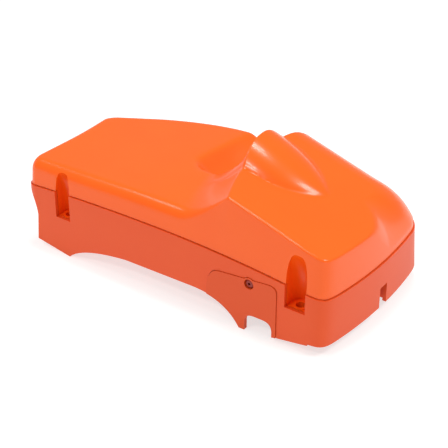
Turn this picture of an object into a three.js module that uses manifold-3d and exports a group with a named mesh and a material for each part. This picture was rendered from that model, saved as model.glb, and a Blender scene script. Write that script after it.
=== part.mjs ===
// Air filter housing of a small engine: an open-bottomed moulded box in two shells, with the
// filter, its tray and its intake boot inside. Millimetres, +Z up, origin at the middle of the base.
// +X points at the end with the slot, and the side with the blanking plate faces -Y.
import * as THREE from "three";
import { mergeVertices } from "three/addons/utils/BufferGeometryUtils.js";
import Module from "manifold-3d";

const wasm = await Module();
wasm.setup();

// ---- driving dimensions ----
const LENGTH = 282; // over the bulged end
const WIDTH = 143;
const END_BULGE = 7; // how far the slotted end bows out
const RIGHT_CORNER = 24; // length of wall that a right-hand corner takes up
const ROUND = 0.5523; // pull of a round corner's curve; a sharper one pulls harder
const SEAM_PULLS = { near: 0.97, far: 0.62 };
const FOOT_PULLS = { near: 1, far: 1 };
const LEFT_CORNER = 9;
const FLARE = 37.5; // how much the far wall closes in at the narrow end
const FLARE_POWER = 1.9;

const SEAM_HEIGHT = 57.5; // top of the lower shell at its highest
const SEAM_DROP_LEFT = 4.5;
const SEAM_DROP_RIGHT = 11;
const PLATEAU_HEIGHT = 75.5; // low half of the cover, at the narrow end
const PLATEAU_RISE = 3;
const CREST_HEIGHT = 103; // where the high half begins
const HIGH_SLOPE = 0.299; // fall of the high half towards the slotted end
const RAMP_RUN = 40;
const RAMP_POWER = 1.6;
const HUMP_HEIGHT = 14;
const HUMP_HALF = 28; // half width of the hump at the crest
const SCOOP_DEPTH = 17;
const SCOOP_WALL = 22; // how far the scoop's wall takes to reach its floor

const COVER_WALL = 2.6;
const SKIRT_WALL = 3;
const LEDGE = 1.2; // how far the lower shell's rim stands proud of the cover
const SEAM_GAP = 0.7;
const MOST_LEAN = 3; // how far the cover's walls lean in
const WALL_LEAST = 7; // upright wall kept above the seam
const SLUMP_LEAST = 3; // and where the far corner is flattened
const SLUMP_EASE = 1.45;
const LIP_ROOM = 1; // from the inside of the cover's wall to the registering lip
const LIP_INSET = LEDGE + COVER_WALL + LIP_ROOM;
const LIP_WIDTH = 1.6;
const LIP_HEIGHT = 4;
const CLEARANCE = 0.3; // between any two pieces that touch
const CREASE_RADIUS = 1.6;
const SOFT_RADIUS = 9;
const FAR_RADIUS = 36;

const POCKET_FLOOR = 33;
const POCKET_RADIUS = 8.5;
const LEFT_POCKET_RADIUS = 7.2;
const POCKET_DEPTH = 8.5; // from the wall to the screw's axis
const WELL_TOP = 78; // where a well has run out of the wall
const LEFT_WELL_TOP = 74;
const TOWER_WALL = 2.2;
const SLEEVE_RADIUS = 5.7;
const SLEEVE_BORE = 3.6;
const SLEEVE_FOOT = 17;
const BOSS_RADIUS = 6.4;
const BOSS_FOOT = 7.5;
const SCREW_SHANK = 1.9;
const SCREW_HEAD = 3.1;
const INSERT_RADIUS = 3.3;

const WALL_ARCH = 19.3; // height of the long arch in the side walls
const END_FOOT = 9; // clearance under the slotted end
const END_TUCK = 10.5; // how far the narrow end's wall is dished in
const END_TOE = 8.6; // how far in its lower edge stands
const SLOT_Y = 2.5;
const SLOT_WIDTH = 10;
const SLOT_TOP = 26;
const PLATE_THICKNESS = 1.6;
const PLATE_PROUD = 0.6;
const PLATE_TOP = 46.5;
const PLATE_SHOULDER = 42; // height of its sloped top edge at the left

const BEAM_TOP = 26.5;
const BEAM_HEIGHT = 7;
const BEAM_WIDTH = 8;
const TRAY_THICKNESS = 3;
const TRAY_SIDE_ROOM = 25.5; // from the outline to the tray, at each side
const TRAY_WIDTH = WIDTH - 2 * TRAY_SIDE_ROOM;
const FILTER_RADIUS = 38;
const FILTER_BORE = 21;
const FILTER_HEIGHT = 34;
const PLEATS = 36;
const NECK_RADIUS = 20;
const STUD_RADIUS = 3;

// ---- places worked out from them ----
const LEFT = -LENGTH / 2;
const RIGHT = LENGTH / 2 - END_BULGE;
const NEAR = -WIDTH / 2;
const FAR = WIDTH / 2;
const along = (fraction) => fraction * LENGTH;
const FLARE_START = along(-0.039);
const SCREW_XS = [along(-0.368), along(0.393)];
const FILTER_X = along(0.266);
const BEAM_XS = [along(0.117), RIGHT - 13];
const SCOOP_X = along(-0.101);
const HUMP_TIP = along(0.337);
const HUMP_Y = -1.5;
const SPINE = [along(-0.33), along(0.338)];

const TRAY_BASE = BEAM_TOP + CLEARANCE;
const TRAY_TOP = TRAY_BASE + TRAY_THICKNESS;
const SEAL_BASE = TRAY_TOP + CLEARANCE;
const PLEAT_BASE = SEAL_BASE + 4 + CLEARANCE;
const CAP_BASE = PLEAT_BASE + FILTER_HEIGHT + CLEARANCE;
const CAP_TOP = CAP_BASE + 4.5;
const KNOB_BASE = CAP_TOP + 2 * CLEARANCE + 1.6;
const TRAY_SCREW_Y = 0.4 * TRAY_WIDTH;
const TRAY_SCREWS = BEAM_XS.flatMap((x) => [-TRAY_SCREW_Y, TRAY_SCREW_Y].map((y) => [x, y]));

// ---- small numeric helpers ----
const clamp = THREE.MathUtils.clamp;
const smooth = THREE.MathUtils.smoothstep;
const lerp = THREE.MathUtils.lerp;

// Lower of two heights, rounded over where they cross.
function softMin(a, b, radius) {
  const overlap = Math.max(radius - Math.abs(a - b), 0) / radius;
  return Math.min(a, b) - overlap * overlap * radius * 0.25;
}

// ---- manifold helpers ----
function solid(geometry) {
  const bare = geometry.clone();
  bare.deleteAttribute("normal");
  bare.deleteAttribute("uv");
  const merged = mergeVertices(bare, 1e-4);
  const vertProperties = merged.attributes.position.array;
  const triVerts = new Uint32Array(merged.index.array);
  return new wasm.Manifold(new wasm.Mesh({ numProp: 3, vertProperties, triVerts }));
}

function geometryOf(body) {
  const mesh = body.getMesh();
  const geometry = new THREE.BufferGeometry();
  geometry.setAttribute("position", new THREE.BufferAttribute(mesh.vertProperties, 3));
  geometry.setIndex(new THREE.BufferAttribute(mesh.triVerts, 1));
  geometry.computeVertexNormals();
  return geometry;
}

const box = (x0, x1, y0, y1, z0, z1) => {
  const geometry = new THREE.BoxGeometry(x1 - x0, y1 - y0, z1 - z0);
  return solid(geometry.translate((x0 + x1) / 2, (y0 + y1) / 2, (z0 + z1) / 2));
};

// Solid of revolution about a vertical axis through x, y, from a closed [radius, height] profile.
function turned(profile, x, y, segments = 24) {
  const points = profile.map(([r, z]) => new THREE.Vector2(r, z));
  points.push(points[0].clone());
  const geometry = new THREE.LatheGeometry(points, segments);
  geometry.rotateX(Math.PI / 2);
  const made = solid(withoutSlivers(geometry));
  return made.translate([x, y, 0]);
}

// Drops the triangles that have no area, as a profile on the axis makes.
function withoutSlivers(geometry) {
  const bare = geometry.clone();
  bare.deleteAttribute("normal");
  bare.deleteAttribute("uv");
  const merged = mergeVertices(bare, 1e-4);
  const kept = [];
  const index = merged.index.array;
  for (let i = 0; i < index.length; i += 3) {
    const [a, b, c] = index.slice(i, i + 3);
    if (a !== b && b !== c && a !== c) kept.push(a, b, c);
  }
  merged.setIndex(kept);
  return merged;
}

const cylinder = (radius, z0, z1, x, y, segments = 24) =>
  turned([[0, z0], [radius, z0], [radius, z1], [0, z1]], x, y, segments);

const CURVE_STEPS = 10; // straight pieces in each drawn curve

// Shape drawn in the X-Z plane, extruded from y0 to y1.
function sideways(shape, y0, y1) {
  const settings = { depth: y1 - y0, bevelEnabled: false, curveSegments: CURVE_STEPS };
  const geometry = new THREE.ExtrudeGeometry(shape, settings).rotateX(Math.PI / 2);
  return solid(geometry.translate(0, y1, 0));
}

// Skin through rings with equal numbers of points. Rings may collapse onto a line to close the body,
// or run round and join up when looped.
function skin(rings, looped = false) {
  const count = rings[0].length;
  const positions = rings.flat().flatMap((p) => [p.x, p.y, p.z]);
  const index = [];
  const last = looped ? rings.length : rings.length - 1;
  for (let r = 0; r < last; r++) {
    const next = (r + 1) % rings.length;
    for (let i = 0; i < count; i++) {
      const j = (i + 1) % count;
      index.push(r * count + i, r * count + j, next * count + j);
      index.push(r * count + i, next * count + j, next * count + i);
    }
  }
  const geometry = new THREE.BufferGeometry();
  geometry.setAttribute("position", new THREE.Float32BufferAttribute(positions, 3));
  geometry.setIndex(index);
  return solid(withoutSlivers(geometry));
}

// ---- plan outline ----
// Far wall: straight, then closing in towards the narrow end.
function farWall(x) {
  const run = Math.max(FLARE_START - x, 0) / (FLARE_START - along(-0.465));
  return FAR - FLARE * run ** FLARE_POWER;
}

const endWall = (y) => RIGHT + END_BULGE * (1 - (y / FAR) ** 2);

function corner(start, control, end, pull) {
  const a = start.clone().lerp(control, pull);
  const b = end.clone().lerp(control, pull);
  return new THREE.CubicBezierCurve(start, a, b, end).getPoints(CORNER_STEPS).slice(0, -1);
}

const NEAR_STEPS = 26;
const CORNER_STEPS = 5;
const END_STEPS = 10;
const LEFT_STEPS = 4;

// Evenly spaced values from start, leaving the end to whatever follows.
const stepped = (start, end, steps) => Array.from({ length: steps }, (_, i) => lerp(start, end, i / steps));

// Counter-clockwise outline with given right-hand corners. The side walls share their X stations.
function outline(pulls) {
  const v = (x, y) => new THREE.Vector2(x, y);
  const startX = LEFT + LEFT_CORNER;
  const endX = RIGHT - RIGHT_CORNER;
  const cornerY = FAR - RIGHT_CORNER;
  const bow = (2 * END_BULGE * cornerY) / FAR ** 2;
  const controlX = endWall(cornerY) - bow * RIGHT_CORNER;
  const stations = stepped(startX, endX, NEAR_STEPS);
  const crossings = stepped(-cornerY, cornerY, END_STEPS);
  const farY = farWall(startX);
  const leftTop = farY - 1.35 * LEFT_CORNER;
  const leftBottom = NEAR + LEFT_CORNER;
  const left = stepped(leftTop, leftBottom, LEFT_STEPS);
  return [
    ...stations.map((x) => v(x, NEAR)),
    ...corner(v(endX, NEAR), v(controlX, NEAR), v(endWall(-cornerY), -cornerY), pulls.near),
    ...crossings.map((y) => v(endWall(y), y)),
    ...corner(v(endWall(cornerY), cornerY), v(controlX, FAR), v(endX, FAR), pulls.far),
    ...stepped(endX, startX, NEAR_STEPS).map((x) => v(x, farWall(x))),
    ...corner(v(startX, farY), v(LEFT, farY - 0.6 * LEFT_CORNER), v(LEFT, leftTop), ROUND),
    ...left.map((y) => v(LEFT, y)),
    ...corner(v(LEFT, leftBottom), v(LEFT, NEAR), v(startX, NEAR), ROUND),
  ];
}

// Outline moved inwards along its normals.
function inset(points, distance) {
  return points.map((p, i) => {
    const before = points[(i + points.length - 1) % points.length];
    const after = points[(i + 1) % points.length];
    const tangent = after.clone().sub(before).normalize();
    return new THREE.Vector2(p.x - tangent.y * distance, p.y + tangent.x * distance);
  });
}

const seamPlan = outline(SEAM_PULLS);
const footPlan = outline(FOOT_PULLS);

function seamZ(x) {
  const crown = along(-0.039);
  if (x < crown) return SEAM_HEIGHT - SEAM_DROP_LEFT * ((x - crown) / (LEFT - crown)) ** 2;
  return SEAM_HEIGHT - SEAM_DROP_RIGHT * ((x - crown) / (LENGTH / 2 - crown)) ** 2;
}

// ---- height of the cover's top ----
const crestX = (y) => along(0.121) + 0.0032 * (y - 5) ** 2;
const plateauZ = (x) => PLATEAU_HEIGHT + PLATEAU_RISE * smooth(x, along(-0.453), along(-0.03));

// Depth of the scoop: nothing outside its rounded corner, sinking to the floor inside it.
function scoopDepth(x, y) {
  const wallX = SCOOP_X + 0.14 * Math.max(y, 0);
  const nearY = -9 - 0.55 * Math.max(x, 0);
  const round = 18;
  const dx = Math.max(round - (x - wallX), 0);
  const dy = Math.max(round - (y - nearY), 0);
  const inward = Math.min(x - wallX, y - nearY, round);
  const reach = dx > 0 && dy > 0 ? round - Math.hypot(dx, dy) : inward;
  const beyond = Math.max(Math.min(x - wallX, y - nearY) - round, 0);
  const run = clamp((reach + beyond) / SCOOP_WALL, 0, 1);
  const shallower = lerp(1, 0.55, smooth(y, 25, 70));
  return SCOOP_DEPTH * shallower * Math.sin((run * Math.PI) / 2);
}

// Ridge with a blunt nose over the high half: crisp at its near foot, soft at its far one.
function humpZ(x, y) {
  const root = crestX(HUMP_Y);
  const run = clamp((x - root) / (HUMP_TIP - root), 0, 1);
  const half = HUMP_HALF * (1 - run ** 2.6) ** 0.85;
  if (half === 0) return 0;
  const across = (y - HUMP_Y + 3 * run) / half;
  const falloff = across < 0 ? 0.85 : 1.5;
  return HUMP_HEIGHT * (1 - run ** 2) * Math.max(1 - Math.abs(across) ** 2.4, 0) ** falloff;
}

function topZ(x, y) {
  const crest = crestX(y);
  const foot = crest - RAMP_RUN;
  const depth = scoopDepth(x, y);
  const low = plateauZ(x) - depth;
  const highZ = CREST_HEIGHT - HIGH_SLOPE * (x - along(0.174)) + humpZ(x, y);
  const crestZ = CREST_HEIGHT - HIGH_SLOPE * (crest - along(0.174)) + humpZ(crest, y);
  const climb = Math.max((x - foot) / RAMP_RUN, 0);
  const power = lerp(RAMP_POWER, 2.4, depth / SCOOP_DEPTH);
  const ramp = low + (crestZ - low) * climb ** power;
  return softMin(ramp, highZ, 3);
}

// Shoulder between wall and top: crisp along the high half, soft on the low half and the far side.
function shoulder(point) {
  const near = lerp(SOFT_RADIUS, CREASE_RADIUS, smooth(point.x, 0, along(0.176)));
  const far = lerp(SOFT_RADIUS, FAR_RADIUS, smooth(point.x, along(-0.04), along(0.166)));
  return lerp(near, far, smooth(point.y, -22, FAR - 22));
}

// How far the shoulder has flattened into a slope: fully, at the far corner of the slotted end.
function slump(point) {
  return 0.6 * smooth(point.y, -40, FAR - 5) * smooth(point.x, along(0.035), along(0.48));
}

function spinePoint(point) {
  const x = clamp(point.x, SPINE[0], SPINE[1]);
  return new THREE.Vector2(x, (NEAR + farWall(x)) / 2);
}

const WALL_RINGS = 1;
const SHOULDER_RINGS = 3;
const TOP_RINGS = 8;

// Closed body under the cover's surface, its wall moved in by a margin and its top down by a drop.
function coverBody(margin, drop, baseOffset) {
  const plan = inset(seamPlan, margin);
  const lift = (p, z) => new THREE.Vector3(p.x, p.y, z);
  const columns = plan.map((start, i) => {
    const middle = spinePoint(seamPlan[i]);
    const inward = middle.clone().sub(start);
    const reach = inward.length();
    const at = (distance) => start.clone().addScaledVector(inward, distance / reach);
    const radius = Math.max(shoulder(start) - drop, 0.6);
    const base = seamZ(start.x) + baseOffset;
    const flat = slump(start);
    const wallCrown = topAt(at(MOST_LEAN), drop);
    const lowest = Math.min(wallCrown, topAt(at(MOST_LEAN + radius), drop));
    const upright = lerp(WALL_LEAST, SLUMP_LEAST, flat);
    const sink = Math.min(radius * lerp(1.2, 2, flat), lowest - seamZ(start.x) - upright);
    const wallTop = wallCrown - sink;
    const lean = Math.min(MOST_LEAN, 0.08 * (wallTop - seamZ(start.x)));
    const rise = [lift(middle, seamZ(middle.x) + baseOffset), lift(start, base)];
    for (let k = 1; k <= WALL_RINGS; k++) {
      const f = k / WALL_RINGS;
      rise.push(lift(at(lean * f), lerp(base, wallTop, f)));
    }
    for (let k = 1; k <= SHOULDER_RINGS; k++) {
      const share = k / SHOULDER_RINGS;
      const turn = (share * Math.PI) / 2;
      const p = at(lean + radius * lerp(1 - Math.cos(turn), share, flat));
      const sloped = 1 - (1 - share) ** SLUMP_EASE;
      rise.push(lift(p, topAt(p, drop) - sink * (1 - lerp(Math.sin(turn), sloped, flat))));
    }
    for (let k = 1; k <= TOP_RINGS; k++) {
      const p = at(lerp(lean + radius, reach, k / TOP_RINGS));
      rise.push(lift(p, topAt(p, drop)));
    }
    return rise;
  });
  const rings = columns[0].map((_, r) => columns.map((rise) => rise[r]));
  return skin(rings);
}

const topAt = (p, drop) => topZ(p.x, p.y) - drop;

// ---- screw towers ----
// Each has a point on its wall, the direction out of that wall, its well's radius and top, and its
// screw's axis.
function towerPlaces() {
  const [leftX, rightX] = SCREW_XS;
  const slope = (farWall(leftX + 1) - farWall(leftX - 1)) / 2;
  const square = new THREE.Vector2(-slope, 1).normalize();
  const away = new THREE.Vector2(0, -1);
  const low = { radius: LEFT_POCKET_RADIUS, top: LEFT_WELL_TOP };
  const high = { radius: POCKET_RADIUS, top: WELL_TOP };
  return [
    { wall: new THREE.Vector2(leftX, NEAR), out: away, ...low },
    { wall: new THREE.Vector2(rightX, NEAR), out: away, ...high },
    { wall: new THREE.Vector2(leftX, farWall(leftX)), out: square, ...low },
    { wall: new THREE.Vector2(rightX - 5, FAR), out: new THREE.Vector2(0, 1), ...high },
  ].map((place) => ({ ...place, axis: place.wall.clone().addScaledVector(place.out, -POCKET_DEPTH) }));
}
const towers = towerPlaces();

// U-shaped plan beside a wall, open outwards, at one height: half width, depth of the nose, and the
// distance from the wall to the nose's middle.
function wellRing(place, wide, nose, back, z) {
  const side = new THREE.Vector2(-place.out.y, place.out.x);
  const local = [[-wide, 9], [-wide, -back]];
  for (let k = 1; k < 10; k++) {
    const turn = Math.PI + (k / 10) * Math.PI;
    local.push([wide * Math.cos(turn), -back + nose * Math.sin(turn)]);
  }
  local.push([wide, -back], [wide, 9]);
  return local.map(([a, b]) => {
    const p = place.wall.clone().addScaledVector(side, -a).addScaledVector(place.out, b);
    return new THREE.Vector3(p.x, p.y, z);
  });
}

const capped = (rings) => skin([centred(rings[0]), ...rings, centred(rings.at(-1))]);

// Well that runs out of the wall at its top: its depth falls off sooner than its width.
function well(place, grow, floorZ, topExtra) {
  const rise = place.top - POCKET_FLOOR;
  const levels = [
    { z: floorZ, width: 1, depth: 1 },
    { z: POCKET_FLOOR + 0.42 * rise, width: 1, depth: 0.95 },
    { z: POCKET_FLOOR + 0.73 * rise, width: 0.91, depth: 0.69 },
    { z: place.top + topExtra, width: 0.4, depth: 0.15 },
  ];
  const rings = levels.map(({ z, width, depth }) => {
    const nose = place.radius * depth + grow;
    return wellRing(place, place.radius * width + grow, nose, POCKET_DEPTH * depth, z);
  });
  return capped(rings);
}

// Room for a tower to rise through, as wide all the way up as the tower's foot.
function shaft(place) {
  const wide = place.radius + TOWER_WALL + CLEARANCE + 0.1;
  const levels = [POCKET_FLOOR - 2.9, WELL_TOP];
  return capped(levels.map((z) => wellRing(place, wide, wide, POCKET_DEPTH, z)));
}

// A ring shrunk to its middle, to close a skin.
function centred(ring) {
  const middle = ring.reduce((sum, p) => sum.add(p), new THREE.Vector3()).divideScalar(ring.length);
  return ring.map(() => middle.clone());
}

// Upright body filling a plan between two heights, either of which may be a function of x.
function column(plan, z0, z1) {
  const middle = seamPlan.map((p) => spinePoint(p));
  const heightAt = (z, x) => (typeof z === "function" ? z(x) : z);
  const level = (points, z) => points.map((p) => new THREE.Vector3(p.x, p.y, heightAt(z, p.x)));
  return skin([level(middle, z0), level(plan, z0), level(plan, z1), level(middle, z1)]);
}

function topCover() {
  const outside = coverBody(LEDGE, 0, SEAM_GAP);
  const hollow = coverBody(LEDGE + COVER_WALL, COVER_WALL, -6);
  const behindSkirt = column(inset(seamPlan, LIP_INSET), SLEEVE_FOOT, (x) => seamZ(x) + 3);
  const room = outside.add(behindSkirt);
  let body = outside.subtract(hollow);
  for (const place of towers) {
    const { x, y } = place.axis;
    const walls = well(place, TOWER_WALL, POCKET_FLOOR - 2.5, 3);
    const sleeve = cylinder(SLEEVE_RADIUS, SLEEVE_FOOT, POCKET_FLOOR, x, y);
    body = body.add(walls.intersect(room)).add(sleeve);
  }
  for (const place of towers) {
    const { x, y } = place.axis;
    body = body.subtract(well(place, 0, POCKET_FLOOR, 0));
    body = body.add(cylinder(SLEEVE_RADIUS, POCKET_FLOOR - 1, POCKET_FLOOR + 0.8, x, y));
    body = body.subtract(cylinder(SLEEVE_BORE, SLEEVE_FOOT + 2.4, POCKET_FLOOR + 2, x, y));
    body = body.subtract(cylinder(SCREW_SHANK + 0.4, SLEEVE_FOOT - 1, SLEEVE_FOOT + 4, x, y));
  }
  return body;
}

// ---- lower shell ----
// Lower edge of a side wall, drawn left to right. The near wall has a hook and a round notch.
function wallEdge(hooked) {
  const shape = new THREE.Shape();
  const hookX = along(0.227);
  const notchX = along(0.244);
  const notchEnd = along(0.328);
  const notchTop = 14.8;
  shape.moveTo(LEFT - 10, -5);
  shape.lineTo(LEFT - 10, 8.7);
  shape.lineTo(along(-0.353), 0);
  shape.quadraticCurveTo(along(-0.305), 13.5, along(-0.148), WALL_ARCH - 1);
  shape.lineTo(along(0.068), WALL_ARCH);
  shape.quadraticCurveTo(along(0.181), WALL_ARCH + 1, hookX, 0);
  if (hooked) {
    shape.lineTo(notchX, 0);
    shape.lineTo(notchX, 8);
    shape.quadraticCurveTo(notchX + 0.5, notchTop, notchX + 9, notchTop);
    shape.lineTo(notchEnd - 8, notchTop);
    shape.quadraticCurveTo(notchEnd, notchTop, notchEnd, 7);
  }
  shape.lineTo(notchEnd, 3);
  shape.lineTo(along(0.461), END_FOOT);
  shape.lineTo(LENGTH, END_FOOT);
  shape.lineTo(LENGTH, -5);
  shape.closePath();
  return shape;
}

const nearCut = sideways(wallEdge(true), NEAR - 6, NEAR + 18);
const farCut = sideways(wallEdge(false), NEAR + 18, FAR + 6);

// Concave end wall of the lower shell at the narrow end, as a band of the wall's thickness.
function concaveEnd(thickness) {
  const shape = new THREE.Shape();
  const tuck = LEFT + END_TUCK;
  const toe = LEFT + END_TOE + thickness;
  shape.moveTo(LEFT - 5, -6);
  shape.lineTo(toe, -6);
  shape.lineTo(toe, 6.3);
  shape.lineTo(tuck + thickness, 28);
  shape.quadraticCurveTo(tuck - 1 + thickness, 42, LEFT + thickness, 53);
  shape.lineTo(LEFT - 5, 53);
  shape.closePath();
  return shape;
}

function skirtWall() {
  const rim = (plan, lift) => plan.map((p) => new THREE.Vector3(p.x, p.y, seamZ(p.x) + lift));
  const base = (plan) => plan.map((p) => new THREE.Vector3(p.x, p.y, 0));
  return skin(
    [
      base(footPlan),
      rim(seamPlan, 0),
      rim(inset(seamPlan, LIP_INSET), 0),
      rim(inset(seamPlan, LIP_INSET), LIP_HEIGHT),
      rim(inset(seamPlan, LIP_INSET + LIP_WIDTH), LIP_HEIGHT),
      rim(inset(seamPlan, LIP_INSET + LIP_WIDTH), -5),
      rim(inset(seamPlan, SKIRT_WALL), -9),
      base(inset(footPlan, SKIRT_WALL)),
    ],
    true,
  );
}

// Guide channel behind the end slot: a back plate on two webs.
function slotGuide() {
  const half = SLOT_WIDTH / 2 + 3;
  const back = LENGTH / 2 - 14;
  const reach = LENGTH / 2 - 2;
  const top = SLOT_TOP + 6;
  return box(back, back + 2, SLOT_Y - half - 2, SLOT_Y + half + 2, END_FOOT, top)
    .add(box(back, reach, SLOT_Y - half - 2, SLOT_Y - half, END_FOOT, top))
    .add(box(back, reach, SLOT_Y + half, SLOT_Y + half + 2, END_FOOT, top));
}

const PLATE_SCREW = { x: along(0.257), z: 40.8 };

// Blanking plate's outline on the near wall, grown all round.
function plateShape(grow) {
  const left = along(0.124) - grow;
  const right = along(0.34) + grow;
  const top = PLATE_TOP + grow;
  const shape = new THREE.Shape();
  shape.moveTo(left, -3);
  shape.lineTo(left, 26);
  shape.quadraticCurveTo(left + 2, PLATE_SHOULDER - 1 + grow, left + 11, PLATE_SHOULDER + grow);
  shape.lineTo(right - 6, top);
  shape.quadraticCurveTo(right, top, right, top - 6);
  shape.lineTo(right, -3);
  shape.closePath();
  return shape;
}

// Round bar along Y at the plate's screw.
function across(radius, y0, y1) {
  const geometry = new THREE.CylinderGeometry(radius, radius, y1 - y0, 24);
  return solid(geometry.translate(PLATE_SCREW.x, (y0 + y1) / 2, PLATE_SCREW.z));
}

function lowerSkirt() {
  const bay = column(inset(footPlan, SKIRT_WALL - 1), 0, (x) => seamZ(x) - 4);
  const endBand = sideways(concaveEnd(SKIRT_WALL), NEAR + 1, FAR)
    .intersect(bay)
    .subtract(box(LEFT - 9, LEFT + 24, NEAR - 9, FAR + 9, -9, 20));
  const recessFloor = NEAR + PLATE_THICKNESS - PLATE_PROUD + CLEARANCE;
  const recess = sideways(plateShape(CLEARANCE), NEAR - 3, recessFloor);
  let body = skirtWall().add(endBand).add(slotGuide());
  body = body.subtract(sideways(concaveEnd(0), NEAR - 9, FAR + 9));
  for (const x of BEAM_XS) {
    const half = BEAM_WIDTH / 2;
    const beam = box(x - half, x + half, NEAR, FAR, BEAM_TOP - BEAM_HEIGHT, BEAM_TOP);
    body = body.add(beam.intersect(bay));
  }
  body = body.add(across(8, NEAR + SKIRT_WALL - 0.5, NEAR + 14));
  for (const place of towers) {
    const { x, y } = place.axis;
    const gap = SLEEVE_RADIUS + CLEARANCE + 0.1;
    body = body.subtract(shaft(place).intersect(shaftRoom()));
    body = body.subtract(well(place, 0, POCKET_FLOOR, 9));
    body = body.subtract(cylinder(gap, SLEEVE_FOOT - CLEARANCE, POCKET_FLOOR, x, y));
    body = body.add(bossFor(place));
    body = body.subtract(cylinder(INSERT_RADIUS + CLEARANCE, BOSS_FOOT - 1, SLEEVE_FOOT, x, y));
  }
  for (const [x, y] of TRAY_SCREWS) {
    body = body.subtract(cylinder(SCREW_SHANK + CLEARANCE, BEAM_TOP - 6, BEAM_TOP + 1, x, y, 14));
  }
  body = body.subtract(recess);
  body = body.subtract(across(5.6, NEAR - 1, NEAR + 4.6));
  body = body.subtract(across(SCREW_SHANK + CLEARANCE, NEAR, NEAR + 20));
  body = body.subtract(nearCut).subtract(farCut);
  body = body.subtract(box(RIGHT - 12, LENGTH, NEAR - 9, FAR + 9, -5, END_FOOT));
  const half = SLOT_WIDTH / 2;
  return body.subtract(box(LENGTH / 2 - 11, LENGTH, SLOT_Y - half, SLOT_Y + half, -5, SLOT_TOP));
}

// Room inside the wall where the cover's towers stand.
const shaftRoom = () => column(inset(seamPlan, SKIRT_WALL), POCKET_FLOOR - 4, (x) => seamZ(x) + 9);

// Boss under a tower, with a rib to its wall.
function bossFor(place) {
  const { x, y } = place.axis;
  const boss = cylinder(BOSS_RADIUS, BOSS_FOOT, SLEEVE_FOOT - CLEARANCE, x, y);
  const rib = new THREE.BoxGeometry(POCKET_DEPTH, 4, SLEEVE_FOOT - CLEARANCE - BOSS_FOOT);
  const middle = place.axis.clone().addScaledVector(place.out, POCKET_DEPTH / 2 - 1);
  rib.rotateZ(Math.atan2(place.out.y, place.out.x));
  rib.translate(middle.x, middle.y, (BOSS_FOOT + SLEEVE_FOOT - CLEARANCE) / 2);
  return boss.add(solid(rib));
}

function sidePlate() {
  const face = NEAR - PLATE_PROUD;
  const cup = across(5.2, face, NEAR + 4.2);
  return sideways(plateShape(0), face, face + PLATE_THICKNESS)
    .subtract(nearCut)
    .add(cup)
    .subtract(across(4, face - 1, NEAR + 2.8))
    .subtract(across(SCREW_SHANK + CLEARANCE, NEAR, NEAR + 9));
}

// ---- fasteners ----
// Pan screw standing head up on z, with a six-sided socket.
function panScrew(x, y, z, length, headRadius) {
  const profile = [
    [0, z - length],
    [SCREW_SHANK - 0.5, z - length],
    [SCREW_SHANK, z - length + 1],
    [SCREW_SHANK, z],
    [headRadius, z],
    [headRadius, z + 1.6],
    [headRadius - 0.7, z + 2.4],
    [0, z + 2.4],
  ];
  const socket = turned([[0, z + 0.9], [1.3, z + 0.9], [1.3, z + 4], [0, z + 4]], x, y, 6);
  return turned(profile, x, y, 14).subtract(socket);
}

const ring = (inner, outer, z0, z1, x, y, segments = 24) =>
  turned([[inner, z0], [outer, z0], [outer, z1], [inner, z1]], x, y, segments);

function sideScrew() {
  const head = NEAR + 2.8 - CLEARANCE;
  const upright = panScrew(0, 0, 0, 12, 3.4);
  return upright.rotate([90, 0, 0]).translate([PLATE_SCREW.x, head, PLATE_SCREW.z]);
}

// ---- filter and its tray ----
function filterTray() {
  const x0 = BEAM_XS[0] - BEAM_WIDTH / 2 - 2;
  const x1 = BEAM_XS[1] + BEAM_WIDTH / 2 + 1;
  const half = TRAY_WIDTH / 2;
  let body = box(x0, x1, -half, half, TRAY_BASE, TRAY_TOP);
  body = body.add(cylinder(NECK_RADIUS, 11, TRAY_BASE + 1, FILTER_X, 0, 30));
  body = body.subtract(cylinder(NECK_RADIUS - 2.4, 10, TRAY_TOP + 1, FILTER_X, 0, 30));
  for (let k = 0; k < 3; k++) {
    const arm = new THREE.BoxGeometry(NECK_RADIUS - 2, 3, 6);
    arm.translate(NECK_RADIUS / 2, 0, TRAY_BASE).rotateZ((k / 3) * 2 * Math.PI);
    body = body.add(solid(arm.translate(FILTER_X, 0, 0)));
  }
  body = body.add(cylinder(6, TRAY_BASE - 4, TRAY_TOP, FILTER_X, 0));
  body = body.subtract(cylinder(STUD_RADIUS + CLEARANCE, 0, TRAY_TOP + 1, FILTER_X, 0));
  for (const [x, y] of TRAY_SCREWS) {
    body = body.subtract(cylinder(SCREW_SHANK + CLEARANCE, TRAY_BASE - 1, TRAY_TOP + 1, x, y));
  }
  return body;
}

function pleatedMedia() {
  const shape = new THREE.Shape();
  const hole = new THREE.Path();
  for (let k = 0; k <= 2 * PLEATS; k++) {
    const turn = (k / (2 * PLEATS)) * 2 * Math.PI;
    const outer = k % 2 ? FILTER_RADIUS : FILTER_RADIUS - 9;
    const inner = k % 2 ? FILTER_BORE + 7 : FILTER_BORE;
    const [c, s] = [Math.cos(turn), Math.sin(turn)];
    if (k === 0) {
      shape.moveTo(outer * c, outer * s);
      hole.moveTo(inner * c, inner * s);
    } else {
      shape.lineTo(outer * c, outer * s);
      hole.lineTo(inner * c, inner * s);
    }
  }
  shape.holes.push(hole);
  const geometry = new THREE.ExtrudeGeometry(shape, { depth: FILTER_HEIGHT, bevelEnabled: false });
  return solid(geometry.translate(FILTER_X, 0, PLEAT_BASE));
}

function baseSeal() {
  const r = FILTER_RADIUS;
  const profile = [
    [FILTER_BORE, SEAL_BASE],
    [r + 1, SEAL_BASE],
    [r + 2, SEAL_BASE + 1],
    [r + 2, SEAL_BASE + 3],
    [r + 1, SEAL_BASE + 4],
    [FILTER_BORE, SEAL_BASE + 4],
  ];
  return turned(profile, FILTER_X, 0, 30);
}

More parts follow.
